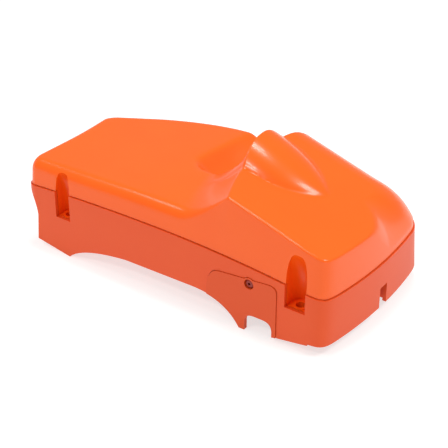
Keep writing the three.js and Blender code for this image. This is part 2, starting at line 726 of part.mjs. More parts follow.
function topCap() {
  const r = FILTER_RADIUS;
  const profile = [
    [STUD_RADIUS + 0.6, CAP_BASE],
    [r + 0.5, CAP_BASE],
    [r + 1.5, CAP_BASE + 1],
    [r + 1.5, CAP_TOP - 1.5],
    [r, CAP_TOP],
    [STUD_RADIUS + 0.6, CAP_TOP],
  ];
  return turned(profile, FILTER_X, 0, 30);
}

const CAGE_SLOTS = 8;

// Support tube inside the pleats, with upright slots.
function filterCage() {
  const z0 = PLEAT_BASE;
  const z1 = PLEAT_BASE + FILTER_HEIGHT;
  let body = ring(FILTER_BORE - 2, FILTER_BORE - 0.5, z0, z1, FILTER_X, 0, 30);
  for (let k = 0; k < CAGE_SLOTS; k++) {
    const slot = new THREE.BoxGeometry(6, 8, FILTER_HEIGHT - 10);
    slot.translate(FILTER_BORE, 0, (z0 + z1) / 2).rotateZ(((k + 0.5) / CAGE_SLOTS) * 2 * Math.PI);
    body = body.subtract(solid(slot.translate(FILTER_X, 0, 0)));
  }
  return body;
}

function centreStud() {
  const head = TRAY_BASE - 4 - CLEARANCE;
  const bar = cylinder(STUD_RADIUS, head - 2, KNOB_BASE + 5, FILTER_X, 0, 20);
  return bar.add(cylinder(5.2, head - 4, head, FILTER_X, 0, 6));
}

// Hand knob with scalloped grip, threaded on the stud from below.
function clampKnob() {
  const z = KNOB_BASE;
  const profile = [
    [0, z],
    [7, z],
    [7, z + 2],
    [13, z + 3],
    [13, z + 8],
    [11.5, z + 9.5],
    [0, z + 9.5],
  ];
  let body = turned(profile, FILTER_X, 0, 30);
  for (let k = 0; k < 6; k++) {
    const turn = (k / 6) * 2 * Math.PI;
    const [x, y] = [FILTER_X + 15 * Math.cos(turn), 15 * Math.sin(turn)];
    body = body.subtract(cylinder(4, z + 1, z + 12, x, y, 14));
  }
  return body.subtract(cylinder(STUD_RADIUS + CLEARANCE, z - 1, z + 6, FILTER_X, 0, 20));
}

function intakeBoot() {
  const r = NECK_RADIUS + CLEARANCE;
  const profile = [
    [r, 10.6],
    [r - 3.4, 9.4],
    [r - 3.4, 1.5],
    [r + 8, 1.5],
    [r + 8, 4.5],
    [r + 3, 5.5],
    [r + 3, 9],
    [r + 4, 10],
    [r + 3, 11],
    [r + 3, 20],
    [r, 20],
  ];
  return turned(profile, FILTER_X, 0, 30);
}

const BAND_RADIUS = NECK_RADIUS + CLEARANCE + 3 + CLEARANCE;

function bootClamp() {
  const y = -(BAND_RADIUS + 2.6);
  const housing = box(FILTER_X - 7, FILTER_X + 7, y - 3, y + 3, 12, 18.5);
  const bore = new THREE.CylinderGeometry(2.3, 2.3, 40, 18).rotateZ(Math.PI / 2);
  return ring(BAND_RADIUS, BAND_RADIUS + 1, 12, 18.5, FILTER_X, 0, 30)
    .add(housing)
    .subtract(cylinder(BAND_RADIUS, 10, 20, FILTER_X, 0, 30))
    .subtract(solid(bore.translate(FILTER_X, y - 0.4, 15.25)));
}

function bootClampScrew() {
  const y = -(BAND_RADIUS + 2.6) - 0.4;
  const bar = new THREE.CylinderGeometry(2, 2, 13, 16).rotateZ(Math.PI / 2);
  const head = new THREE.CylinderGeometry(3, 3, 3, 6).rotateZ(Math.PI / 2);
  bar.translate(FILTER_X + 0.8, y, 15.25);
  head.translate(FILTER_X + 8.8, y, 15.25);
  return solid(bar).add(solid(head));
}

// ---- materials and the scene ----
const material = (color, roughness, metalness = 0) =>
  new THREE.MeshStandardMaterial({ color, roughness, metalness });
const COVER_ORANGE = material(0xff6a26, 0.32);
const SKIRT_ORANGE = material(0xe85a31, 0.4);
const PLATE_ORANGE = material(0xe9602f, 0.42);
const RED_PLASTIC = material(0x9c2a1e, 0.5);
const BLACK_STEEL = material(0x2a2a2c, 0.45, 1);
const ZINC = material(0xb9bcc0, 0.35, 1);
const BRASS = material(0xc79a3f, 0.35, 1);
const BLACK_PLASTIC = material(0x26262a, 0.55);
const RUBBER = material(0x1d1d1f, 0.8);
const POLYURETHANE = material(0x34353a, 0.7);
const PAPER = material(0xd8c48e, 0.9);

const group = new THREE.Group();
function place(name, body, look) {
  const mesh = new THREE.Mesh(geometryOf(body), look);
  mesh.name = name;
  group.add(mesh);
}

place("top_cover", topCover(), COVER_ORANGE);
place("lower_skirt", lowerSkirt(), SKIRT_ORANGE);
place("side_plate", sidePlate(), PLATE_ORANGE);
place("side_plate_screw", sideScrew(), RED_PLASTIC);
towers.forEach(({ axis }, i) => {
  const seat = SLEEVE_FOOT + 2.4 + CLEARANCE;
  place(`cover_screw_${i + 1}`, panScrew(axis.x, axis.y, seat + 1.1, 12.6, SCREW_HEAD), BLACK_STEEL);
  place(`screw_washer_${i + 1}`, ring(2.2, 3.2, seat, seat + 0.8, axis.x, axis.y, 14), ZINC);
  const insertTop = SLEEVE_FOOT - CLEARANCE - 0.4;
  const brass = ring(2.2, INSERT_RADIUS, BOSS_FOOT, insertTop, axis.x, axis.y, 14);
  place(`threaded_insert_${i + 1}`, brass, BRASS);
});
place("filter_tray", filterTray(), BLACK_PLASTIC);
TRAY_SCREWS.forEach(([x, y], i) => {
  place(`tray_screw_${i + 1}`, panScrew(x, y, TRAY_TOP + CLEARANCE, 9, 3.4), ZINC);
});
place("filter_base_seal", baseSeal(), POLYURETHANE);
place("filter_pleats", pleatedMedia(), PAPER);
place("filter_cage", filterCage(), ZINC);
place("filter_top_cap", topCap(), POLYURETHANE);
place("centre_stud", centreStud(), ZINC);
const capWasher = ring(STUD_RADIUS + 0.4, 9, CAP_TOP + CLEARANCE, KNOB_BASE - CLEARANCE, FILTER_X, 0);
place("cap_washer", capWasher, RUBBER);
place("clamp_knob", clampKnob(), BLACK_PLASTIC);
place("intake_boot", intakeBoot(), RUBBER);
place("boot_clamp", bootClamp(), ZINC);
place("boot_clamp_screw", bootClampScrew(), ZINC);

export default group;
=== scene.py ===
# %% [markdown]
# # An air filter housing in satin orange plastic
# The real object is an injection moulding in two shells: a tall cover over a deep skirt, with a
# filter, its tray and a rubber boot inside. The frame below holds every piece at its real size and
# place, in metres. This lesson makes the shells again as fine surfaces, because a moulding is judged
# by how light runs over it, and a coarse model breaks that light into facets.

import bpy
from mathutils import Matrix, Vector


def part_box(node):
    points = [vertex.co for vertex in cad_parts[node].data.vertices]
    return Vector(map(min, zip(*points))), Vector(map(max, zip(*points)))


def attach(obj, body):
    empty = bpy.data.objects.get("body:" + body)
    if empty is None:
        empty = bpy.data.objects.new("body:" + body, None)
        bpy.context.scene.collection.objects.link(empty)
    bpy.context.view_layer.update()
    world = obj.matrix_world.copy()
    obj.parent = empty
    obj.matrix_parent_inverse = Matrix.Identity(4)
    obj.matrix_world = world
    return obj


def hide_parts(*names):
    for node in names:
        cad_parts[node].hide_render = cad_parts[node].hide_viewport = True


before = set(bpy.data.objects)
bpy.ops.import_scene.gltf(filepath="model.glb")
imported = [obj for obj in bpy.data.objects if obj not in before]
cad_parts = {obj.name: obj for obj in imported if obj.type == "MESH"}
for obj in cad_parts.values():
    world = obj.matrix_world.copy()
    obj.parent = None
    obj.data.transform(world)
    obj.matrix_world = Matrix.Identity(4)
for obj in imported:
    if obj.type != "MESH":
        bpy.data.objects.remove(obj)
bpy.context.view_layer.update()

import math

import bpy
import numpy as np
from mathutils import Matrix, Vector

# %% [markdown]
# ## Camera and light
# Plastic shows its finish only through what it reflects, so the studio has softboxes overhead, over
# the bowed end and at the left, and a strip on the near side that glosses the hump and the creases. The
# camera stands at the right-hand front corner, a metre away, with a long lens so that sides stay
# nearly parallel.


# %% Camera at the front right corner
def look_from(azimuth, elevation, place, lens):
    """A camera at a place, looking along an azimuth and down by an elevation, both in degrees."""
    data = bpy.data.cameras.new("camera")
    data.lens = lens
    data.sensor_width = 36
    camera = bpy.data.objects.new("camera", data)
    camera.location = place
    camera.rotation_euler = (math.radians(90 - elevation), 0, math.radians(azimuth))
    bpy.context.collection.objects.link(camera)
    return camera


bpy.context.scene.view_settings.view_transform = "Standard"
bpy.context.scene.camera = look_from(35.59, 31.19, (0.5016, -0.7017, 0.5522), 103.8)
print("camera lens:", bpy.context.scene.camera.data.lens, "mm")


# %% Colours and a helper for nodes
MM = 0.001


def linear(hex_colour):
    """sRGB hex to linear RGBA: each channel c becomes ((c + 0.055) / 1.055) to the power 2.4."""
    srgb = [int(hex_colour[i : i + 2], 16) / 255 for i in (1, 3, 5)]
    return tuple(c / 12.92 if c <= 0.04045 else ((c + 0.055) / 1.055) ** 2.4 for c in srgb) + (1,)


def add_node(tree, kind, settings=(), inputs=(), links=()):
    """Adds a node, sets its properties and socket values, and links sockets: {input: output}."""
    node = tree.nodes.new(kind)
    for name, value in dict(settings).items():
        setattr(node, name, value)
    for name, value in dict(inputs).items():
        node.inputs[name].default_value = value
    for name, output in dict(links).items():
        tree.links.new(output, node.inputs[name])
    return node


# %% Soft studio light
AIM = Vector((0, 0, 0.05))


def area_light(name, place, size, power):
    """A rectangular softbox that points from its place to the middle of the housing."""
    data = bpy.data.lights.new(name, "AREA")
    data.shape = "RECTANGLE"
    data.size, data.size_y = size
    data.energy = power
    lamp = bpy.data.objects.new(name, data)
    lamp.location = place
    lamp.rotation_euler = (AIM - Vector(place)).to_track_quat("-Z", "Y").to_euler()
    bpy.context.collection.objects.link(lamp)


area_light("overhead", (-0.05, 0.15, 1.29), (0.36, 0.26), 6.4)
area_light("end_softbox", (0.75, 0.12, 1.04), (0.36, 0.26), 6)
area_light("gloss_strip", (-0.14, -0.8, 1.0), (0.3, 0.12), 3.4)
area_light("left_softbox", (-0.62, -0.32, 1.07), (0.36, 0.26), 2)

world = bpy.data.worlds.new("studio")
world.use_nodes = True
world.node_tree.nodes["Background"].inputs["Color"].default_value = linear("#ffffff")
world.node_tree.nodes["Background"].inputs["Strength"].default_value = 0.38
bpy.context.scene.world = world
print("studio: 4 softboxes and a pale world")

# %% [markdown]
# ## Plastics, steels, rubber and paper
# Each finish is built from what the process leaves on the real surface: the faint orange peel of a
# moulding, the grain of black oxide, the mottle of zinc. Patterns are set in millimetres on object
# coordinates, so that one finish looks the same on a large and on a small piece.


# %% One way to build a finish
def finish(name, colour, rough, metal=0.0, grain=(), tint=(), **sockets):
    """A principled finish. grain is (size in mm, depth in mm) pairs of noise that stand off the
    surface. tint is (size in mm, hex colour, share): noise that leans the colour towards another."""
    made = bpy.data.materials.new(name)
    made.use_nodes = True
    tree = made.node_tree
    shader = tree.nodes["Principled BSDF"]
    shader.inputs["Base Color"].default_value = linear(colour)
    shader.inputs["Roughness"].default_value = rough
    shader.inputs["Metallic"].default_value = metal
    for socket, value in sockets.items():
        shader.inputs[socket.replace("_", " ")].default_value = value
    where = add_node(tree, "ShaderNodeTexCoord").outputs["Object"]
    height = None
    for size, depth in grain:
        scale = {"Scale": 1 / (size * MM), "Detail": 2.0, "Roughness": 0.5}
        noise = add_node(tree, "ShaderNodeTexNoise", inputs=scale, links={"Vector": where})
        settings = {"Strength": 1.0, "Distance": depth * MM}
        links = {"Height": noise.outputs["Fac"]} | ({"Normal": height} if height else {})
        height = add_node(tree, "ShaderNodeBump", inputs=settings, links=links).outputs["Normal"]
    if height:
        tree.links.new(height, shader.inputs["Normal"])
    if tint:
        size, other, share = tint
        scale = {"Scale": 1 / (size * MM), "Detail": 3.0}
        noise = add_node(tree, "ShaderNodeTexNoise", inputs=scale, links={"Vector": where})
        amount = add_node(tree, "ShaderNodeMath", {"operation": "MULTIPLY"}, {1: share},
                          {0: noise.outputs["Fac"]})
        colours = add_node(tree, "ShaderNodeMix", {"data_type": "RGBA"},
                           {6: linear(colour), 7: linear(other)}, {0: amount.outputs[0]})
        tree.links.new(colours.outputs[2], shader.inputs["Base Color"])
    return made


def paint(material, thing):
    """The finish is the only one on the piece."""
    thing.data.materials.clear()
    thing.data.materials.append(material)


# %% A pale floor
# Matt paper that glows a little, so that the sweep stays an even white around the housing.
FLOOR_REACH = 6
corners = [(x * FLOOR_REACH, y * FLOOR_REACH, 0) for x, y in ((-1, -1), (1, -1), (1, 1), (-1, 1))]
floor_mesh = bpy.data.meshes.new("floor")
floor_mesh.from_pydata(corners, [], [(0, 1, 2, 3)])
floor = bpy.data.objects.new("floor", floor_mesh)
bpy.context.collection.objects.link(floor)
glow = {"Emission_Color": linear("#ffffff"), "Emission_Strength": 0.66}
paint(finish("pale_paper_sweep", "#b0b0ae", 0.9, **glow), floor)
print("floor:", 2 * FLOOR_REACH, "m across")


# %% Moulded orange plastics
# A polished tool gives the cover its gloss: broad soft highlights, broken a little by orange peel.
POLYPROPYLENE = {"IOR": 1.49, "Specular_IOR_Level": 0.3}
COVER_PLASTIC = finish("gloss_orange_moulded_polypropylene", "#fb5f10", 0.27,
                       grain=((2.2, 0.012), (0.5, 0.002)), tint=(38, "#ff6814", 0.6),
                       Coat_Weight=0.18, Coat_Roughness=0.09, **POLYPROPYLENE)
# The skirt's tool is duller and its colour is a shade darker, so the two shells read apart.
SKIRT_PLASTIC = finish("satin_orange_moulded_polypropylene", "#e6501c", 0.42,
                       grain=((1.6, 0.012), (0.45, 0.003)),
                       tint=(30, "#ea5a22", 0.6), **POLYPROPYLENE)
# The plate is a separate moulding from a lightly blasted tool: an even satin with no gloss line.
PLATE_PLASTIC = finish("satin_orange_blasted_tool_polypropylene", "#dd4e1a", 0.46,
                       grain=((0.6, 0.004),), tint=(20, "#e4561f", 0.5), **POLYPROPYLENE)
print("plastics:", COVER_PLASTIC.name, SKIRT_PLASTIC.name, PLATE_PLASTIC.name)

# %% [markdown]
# ## The plan of the shells
# Both shells follow one outline: a straight near wall, a bowed end, and a far wall that closes in
# towards the narrow end. It is worked out once, as arrays, and moved inwards for each skin. The
# corners are Bezier curves whose pull sets how sharp they are.

# %% Driving sizes in millimetres, read off the frame where it holds them
skirt_low, skirt_high = (np.array(corner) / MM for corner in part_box("lower_skirt"))
LEFT, NEAR, FAR = skirt_low[0], skirt_low[1], skirt_high[1]
LENGTH, WIDTH = skirt_high[0] - LEFT, FAR - NEAR
END_BULGE = 7.0
RIGHT = skirt_high[0] - END_BULGE
RIGHT_CORNER, LEFT_CORNER = 24.0, 9.0
ROUND = 0.5523
SEAM_PULLS, FOOT_PULLS = (0.97, 0.62), (1.0, 1.0)
SEAM_HEIGHT, SEAM_DROP_LEFT, SEAM_DROP_RIGHT = 57.5, 4.5, 11.0
FLARE, FLARE_POWER = 37.5, 1.9
CROWN, NARROW_END = -0.039, -0.465  # shares of the length, from its middle
print(f"skirt {LENGTH:.1f} x {WIDTH:.1f} mm")


def along(fraction):
    """x at a share of the skirt's length from its middle."""
    return fraction * LENGTH


def smooth(value, start, end):
    """Smoothstep: 3 t^2 - 2 t^3 with t running from 0 at start to 1 at end."""
    t = np.clip((value - start) / (end - start), 0, 1)
    return t * t * (3 - 2 * t)


def far_wall(x):
    """Far wall's y: straight, then closing in by FLARE times the run to a power."""
    start = along(CROWN)
    run = np.maximum(start - x, 0) / (start - along(NARROW_END))
    return FAR - FLARE * run**FLARE_POWER


def end_wall(y):
    """Bowed end's x: a parabola across the width."""
    return RIGHT + END_BULGE * (1 - (y / FAR) ** 2)


# %% Columns that follow the crest
CREST_CENTRE, CREST_STRAIGHT, CREST_BEND, BEND_REACH = 5.0, along(0.121), 0.0032, 60.0
COARSE, FINE, FINE_REACH = 1.9, 0.35, 3.0


def crest_x(y):
    """The crest's plan: a parabola that swings towards the bowed end at both walls."""
    return CREST_STRAIGHT + CREST_BEND * (y - CREST_CENTRE) ** 2


def pull_of(u):
    """How much a column swings with the crest: all of it at the crest, none beyond the reach."""
    return 1 - smooth(np.abs(u - CREST_STRAIGHT), 0, BEND_REACH)


def stations(start, end):
    """Column places from start to end, close together at the crest, with one column just on it."""
    fine = np.linspace(start, end, 6000)
    near_crest = np.exp(-(((fine - CREST_STRAIGHT) / FINE_REACH) ** 2))
    density = 1 / COARSE + (1 / FINE - 1 / COARSE) * near_crest
    total = np.concatenate([[0], np.cumsum(density[:-1] * np.diff(fine))])
    places = np.interp(np.linspace(0, total[-1], int(total[-1]) + 2), total, fine)
    places[np.abs(places - CREST_STRAIGHT).argmin()] = CREST_STRAIGHT
    return places


# %% The outline as one array
def bezier(start, control, end, pull, count):
    """Cubic Bezier whose two handles lie a pull of the way to the corner's control point."""
    start, control, end = (np.array(p, float) for p in (start, control, end))
    a, b = start + (control - start) * pull, end + (control - end) * pull
    t = np.arange(count)[:, None] / count
    return (1 - t) ** 3 * start + 3 * t * (1 - t) ** 2 * a + 3 * t**2 * (1 - t) * b + t**3 * end


def outline(pulls, bends=26, ends=40, lefts=36):
    """Counter-clockwise plan from the near wall, and each column's station, as two arrays."""
    start_x, end_x, corner_y = LEFT + LEFT_CORNER, RIGHT - RIGHT_CORNER, FAR - RIGHT_CORNER
    control_x = end_wall(corner_y) - 2 * END_BULGE * corner_y / FAR**2 * RIGHT_CORNER
    far_y = far_wall(np.array(start_x))
    left_top, left_bottom = far_y - 1.35 * LEFT_CORNER, NEAR + LEFT_CORNER
    places = stations(start_x, end_x)
    x, back = places[:-1], places[:0:-1]
    near_x, far_x = (u + pull_of(u) * (crest_x(side) - CREST_STRAIGHT)
                     for u, side in ((x, NEAR), (back, FAR)))
    y = -corner_y + 2 * corner_y * np.arange(ends) / ends
    down = left_top + (left_bottom - left_top) * np.arange(lefts) / lefts
    plan = np.concatenate([
        np.stack([near_x, np.full_like(x, NEAR)], 1),
        bezier((end_x, NEAR), (control_x, NEAR), (end_wall(-corner_y), -corner_y), pulls[0], bends),
        np.stack([end_wall(y), y], 1),
        bezier((end_wall(corner_y), corner_y), (control_x, FAR), (end_x, FAR), pulls[1], bends),
        np.stack([far_x, far_wall(far_x)], 1),
        bezier((start_x, far_y), (LEFT, far_y - 0.6 * LEFT_CORNER), (LEFT, left_top), ROUND, bends),
        np.stack([np.full_like(down, LEFT), down], 1),
        bezier((LEFT, left_bottom), (LEFT, NEAR), (start_x, NEAR), ROUND, bends),
    ])
    station = plan[:, 0].copy()
    station[: len(x)] = x
    station[len(x) + 2 * bends + ends :][: len(back)] = back
    return plan, station


def inset(plan, distance):
    """The plan moved inwards along its normals by a distance."""
    tangent = np.roll(plan, -1, 0) - np.roll(plan, 1, 0)
    tangent /= np.linalg.norm(tangent, axis=1, keepdims=True)
    return plan + np.stack([-tangent[:, 1], tangent[:, 0]], 1) * distance


def seam_z(x):
    """Height of the seam: two parabolas that meet at its crown."""
    crown = along(CROWN)
    left = SEAM_HEIGHT - SEAM_DROP_LEFT * ((x - crown) / (LEFT - crown)) ** 2
    right = SEAM_HEIGHT - SEAM_DROP_RIGHT * ((x - crown) / (LENGTH / 2 - crown)) ** 2
    return np.where(x < crown, left, right)


seam_plan, station = outline(SEAM_PULLS)
foot_plan = outline(FOOT_PULLS)[0]
pull = pull_of(station)
print("outline:", len(seam_plan), "points")

# %% [markdown]
# ## The cover's top, as one height field
# The cover's top is a low plateau, a scoop sunk into it, a ramp with a crisp crest, a high half that
# falls away from the crest, and a rounded hump along it. A moulding like this is cut in the tool as
# blended surfaces. Here it is one height for each x and y, so that the blends stay smooth and the
# sheet can be sampled as finely as the light needs.

# %% Levels of the top
COVER_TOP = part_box("top_cover")[1][2] / MM
PLATEAU_HEIGHT, PLATEAU_RISE = 75.5, 3.0
HIGH_SLOPE, RAMP_RUN, RAMP_POWER = 0.299, 40.0, 1.6
CREST_HEIGHT, CREST_DATUM, SCOOP_POWER = 103.0, along(0.174), 2.4
HUMP_HEIGHT, HUMP_HALF, HUMP_TIP, HUMP_Y = 13.6, 28.0, along(0.337), -1.5
SCOOP_DEPTH, SCOOP_WALL, SCOOP_ROUND, SCOOP_X = 17.0, 22.0, 18.0, along(-0.101)
CREST_EASE, SCOOP_RIM = 1.6, 1.6
SCOOP_NEAR_Y, SCOOP_SKEW, SCOOP_SWEEP, SCOOP_FADE = -9, 0.14, 0.55, 0.45
HUMP_PLAN, HUMP_NOSE, HUMP_DRIFT, HUMP_SECTION = 2.6, 0.85, 3, 2.4
HUMP_CRISP, HUMP_SOFT = 0.85, 1.5
print(f"frame's cover tops out at {COVER_TOP:.1f} mm")


def soft_min(a, b, radius):
    """Lower of two heights, less a quarter radius times their squared overlap where they cross."""
    overlap = np.maximum(radius - np.abs(a - b), 0) / radius
    return np.minimum(a, b) - overlap * overlap * radius * 0.25


def scoop_depth(x, y):
    """Rounded-corner distance into the scoop, turned into a depth by a quarter sine."""
    wall_x = SCOOP_X + SCOOP_SKEW * np.maximum(y, 0)
    near_y = SCOOP_NEAR_Y - SCOOP_SWEEP * np.maximum(x, 0)
    dx, dy = (np.maximum(SCOOP_ROUND - d, 0) for d in (x - wall_x, y - near_y))
    inward = np.minimum(np.minimum(x - wall_x, y - near_y), SCOOP_ROUND)
    reach = np.where((dx > 0) & (dy > 0), SCOOP_ROUND - np.hypot(dx, dy), inward)
    beyond = np.maximum(np.minimum(x - wall_x, y - near_y) - SCOOP_ROUND, 0)
    into = reach + beyond
    run = np.minimum((into + np.sqrt(into**2 + SCOOP_RIM**2)) / 2 / SCOOP_WALL, 1)
    return SCOOP_DEPTH * (1 - SCOOP_FADE * smooth(y, 25, 70)) * np.sin(run * math.pi / 2)


def hump_z(x, y):
    """Height over the high half: a ridge with a blunt nose, crisp at its near foot, soft at its far."""
    root = crest_x(HUMP_Y)
    run = np.clip((x - root) / (HUMP_TIP - root), 0, 1)
    half = HUMP_HALF * (1 - run**HUMP_PLAN) ** HUMP_NOSE
    share = (y - HUMP_Y + HUMP_DRIFT * run) / np.maximum(half, 1e-6)
    section = np.maximum(1 - np.abs(share) ** HUMP_SECTION, 0)
    return HUMP_HEIGHT * (1 - run**2) * section ** np.where(share < 0, HUMP_CRISP, HUMP_SOFT)


def top_z(x, y):
    """Height of the cover's top: the ramp out of the low half, capped by the high half."""
    crest = crest_x(y)
    depth = scoop_depth(x, y)
    low = PLATEAU_HEIGHT + PLATEAU_RISE * smooth(x, along(-0.453), along(-0.03)) - depth
    high = CREST_HEIGHT - HIGH_SLOPE * (x - CREST_DATUM) + hump_z(x, y)
    crest_z = CREST_HEIGHT - HIGH_SLOPE * (crest - CREST_DATUM) + hump_z(crest, y)
    climb = np.maximum((x - crest + RAMP_RUN) / RAMP_RUN, 0)
    power = RAMP_POWER + (SCOOP_POWER - RAMP_POWER) * depth / SCOOP_DEPTH
    return soft_min(low + (crest_z - low) * climb**power, high, CREST_EASE)


print(f"plateau {float(top_z(-100.0, 0.0)):.1f} mm, crest {float(top_z(crest_x(-5.0), -5.0)):.1f} mm")

# %% [markdown]
# ## The cover as a skin of rings
# A column of points rises from each point of the outline: up the wall, round the shoulder and in
# over the top to a spine line down the middle. Rings through the columns make a closed skin of
# quads. The hollow inside is the same skin moved in by the wall's thickness.

# %% Shoulder and columns
COVER_WALL, LEDGE, SEAM_GAP, MOST_LEAN, WALL_LEAST = 2.6, 1.2, 0.7, 3.0, 7.0
CREASE_RADIUS, SOFT_RADIUS, FAR_RADIUS = 1.6, 9.0, 36.0
SLUMP_MOST, SLUMP_EASE, SLUMP_WALL = 0.6, 1.45, 3.0
SPINE = (along(-0.33), along(0.338))


def mix(a, b, t):
    """The share t of the way from a to b."""
    return a + (b - a) * t


def shoulder(x, y):
    """Radius between wall and top: crisp beside the high half, wide on the far side."""
    near = mix(SOFT_RADIUS, CREASE_RADIUS, smooth(x, 0, along(0.176)))
    far = mix(SOFT_RADIUS, FAR_RADIUS, smooth(x, along(-0.04), along(0.166)))
    return mix(near, far, smooth(y, -22, FAR - 22))


def slump(x, y):
    """How far the shoulder has flattened into a plain slope, at the far corner."""
    return SLUMP_MOST * smooth(y, -40, FAR - 5) * smooth(x, along(0.035), along(0.48))


def swung(points, sign=1):
    """Plan points moved in x as their columns swing with the crest, or back with sign -1."""
    shift = sign * pull * (crest_x(points[:, 1]) - CREST_STRAIGHT)
    return np.stack([points[:, 0] + shift, points[:, 1]], 1)


straight_spine = np.clip(station, *SPINE)
straight_spine = np.stack([straight_spine, (NEAR + far_wall(straight_spine)) / 2], 1)
spine = swung(straight_spine)


def cover_rings(margin, drop, base_offset, steps=(6, 12, 56)):
    """Rings of the cover's skin. Each wall point runs in to the spine, swinging with the crest. Its
    height is the wall's, then the top's less a sink that eases out as a quarter sine."""
    walls, bends, tops = steps
    wall_plan = inset(seam_plan, margin)
    start = swung(wall_plan, -1)
    inward = straight_spine - start
    reach = np.linalg.norm(inward, axis=1)
    unit = inward / reach[:, None]
    x, y = wall_plan.T
    radius = np.maximum(shoulder(x, y) - drop, 0.6)
    flat = slump(x, y)

    def top_of(distance):
        p = swung(start + unit * distance[:, None])
        return p, top_z(p[:, 0], p[:, 1]) - drop

    crown = top_of(np.full_like(x, MOST_LEAN))[1]
    lowest = np.minimum(crown, top_of(MOST_LEAN + radius)[1])
    least = mix(WALL_LEAST, SLUMP_WALL, flat)
    sink = np.minimum(radius * mix(1.2, 2, flat), lowest - seam_z(x) - least)
    wall_top = crown - sink
    lean = np.minimum(MOST_LEAN, 0.08 * (wall_top - seam_z(x)))
    base = seam_z(x) + base_offset
    rings = [np.column_stack([spine, seam_z(spine[:, 0]) + base_offset])]
    rings.append(np.column_stack([wall_plan, base]))
    for share in np.arange(1, walls + 1) / walls:
        p = swung(start + unit * (lean * share)[:, None])
        rings.append(np.column_stack([p, mix(base, wall_top, share)]))
    for share in np.arange(1, bends + 1) / bends:
        turn = share * math.pi / 2
        p, z = top_of(lean + radius * mix(1 - math.cos(turn), share, flat))
        sloped = 1 - (1 - share) ** SLUMP_EASE
        rings.append(np.column_stack([p, z - sink * (1 - mix(math.sin(turn), sloped, flat))]))
    for share in np.arange(1, tops + 1) / tops:
        rings.append(np.column_stack(top_of(mix(lean + radius, reach, share))))
    return np.array(rings)


print("cover skin:", cover_rings(LEDGE, 0, SEAM_GAP).shape[:2], "rings by columns")

# %% [markdown]
# ## From arrays to pieces
# A skin's quads come from index arithmetic on the whole array. The closed skins are cut by plain
# solids, as steel cores cut the moulding's wells and bores, with exact booleans. The result is kept
# as one mesh, at the origin, in metres.


# %% Meshes from rings
def ring_mesh(name, rings, looped=False):
    """A mesh through rings of points: quads between neighbours, joined round and, if looped, over."""
    rings = np.asarray(rings, float)
    count, per = rings.shape[:2]
    r = np.arange(count if looped else count - 1)[:, None]
    i = np.arange(per)[None, :]
    j, up = (i + 1) % per, (r + 1) % count
    quads = np.stack([r * per + i, r * per + j, up * per + j, up * per + i], -1).reshape(-1, 4)
    points, merged = np.unique(np.round(rings.reshape(-1, 3), 5), axis=0, return_inverse=True)
    quads = merged.reshape(-1)[quads]
    return face_mesh(name, points, quads)


def face_mesh(name, points, quads):
    """A mesh of quads, where a quad that has two corners in one place becomes a triangle."""
    same = quads == np.roll(quads, -1, 1)
    whole, three = quads[~same.any(1)], same.sum(1) == 1
    tris = quads[three][~same[three]].reshape(-1, 3)
    loops = np.concatenate([whole.reshape(-1), tris.reshape(-1)]).astype(np.int32)
    sizes = np.concatenate([np.full(len(whole), 4), np.full(len(tris), 3)])
    starts = np.concatenate([[0], np.cumsum(sizes)[:-1]]).astype(np.int32)
    mesh = bpy.data.meshes.new(name)
    mesh.vertices.add(len(points))
    mesh.vertices.foreach_set("co", (points * MM).astype(np.float32).ravel())
    mesh.loops.add(len(loops))
    mesh.loops.foreach_set("vertex_index", loops)
    mesh.polygons.add(len(sizes))
    mesh.polygons.foreach_set("loop_start", starts)
    mesh.update(calc_edges=True)
    mesh.validate()
    return mesh


def held(name, mesh):
    """A working object for a mesh. The booleans use it, and it's removed after them."""
    thing = bpy.data.objects.new(name, mesh)
    bpy.context.collection.objects.link(thing)
    return thing


def solid(name, rings, looped=False):
    """A working object straight from rings."""
    return held(name, ring_mesh(name, rings, looped))


def copy_of(thing):
    return held("copy", thing.data.copy())


def drop(*things):
    """Working objects are taken away."""
    for thing in things:
        bpy.data.objects.remove(thing, do_unlink=True)


def carve(body, operation, *tools):
    """The body after one exact boolean with each tool in turn. Body and tools are used up."""
    for tool in tools:
        cut = body.modifiers.new("cut", "BOOLEAN")
        cut.operation, cut.solver, cut.object = operation, "MANIFOLD", tool
    graph = bpy.context.evaluated_depsgraph_get()
    mesh = bpy.data.meshes.new_from_object(body.evaluated_get(graph))
    name = mesh.name = body.name
    drop(body, *tools)
    return held(name, mesh)


# %% Plain solids for the tools
def band(plan, levels):
    """Rings of a plan at heights, each a number or an array along the plan."""
    return [np.column_stack([plan, np.broadcast_to(z, len(plan))]) for z in levels]


def filled(name, plan, low, high):
    """A solid that fills a plan from a level up to a height that may be a function of x."""
    top, middle = (high(p[:, 0]) if callable(high) else high for p in (plan, spine))
    rings = band(spine, [low]) + band(plan, [low, top]) + band(spine, [middle])
    return solid(name, rings)


def upright(name, plan, low, high):
    """A solid on a small plan that goes round its own middle."""
    plan = np.array(plan, float)
    middle = np.broadcast_to(plan.mean(0), plan.shape)
    return solid(name, band(middle, [low]) + band(plan, [low, high]) + band(middle, [high]))


def around(count):
    """Angles that share a full turn evenly."""
    return np.arange(count) / count * 2 * math.pi


def circle(r, x, y, z, segments):
    """Points about x, y at a height. The radius may vary round them."""
    turn = around(segments)
    return np.column_stack([x + r * np.cos(turn), y + r * np.sin(turn), np.full(segments, z)])


def turned_rings(profile, x, y, segments):
    """Surface of revolution about a vertical axis: each profile point runs once round the circle."""
    return [circle(r, x, y, z, segments) for r, z in profile]


def post(radius, low, high, x, y, segments=96):
    """An upright bar about x, y."""
    profile = [(0, low), (radius, low), (radius, high), (0, high)]
    return solid("post", turned_rings(profile, x, y, segments))


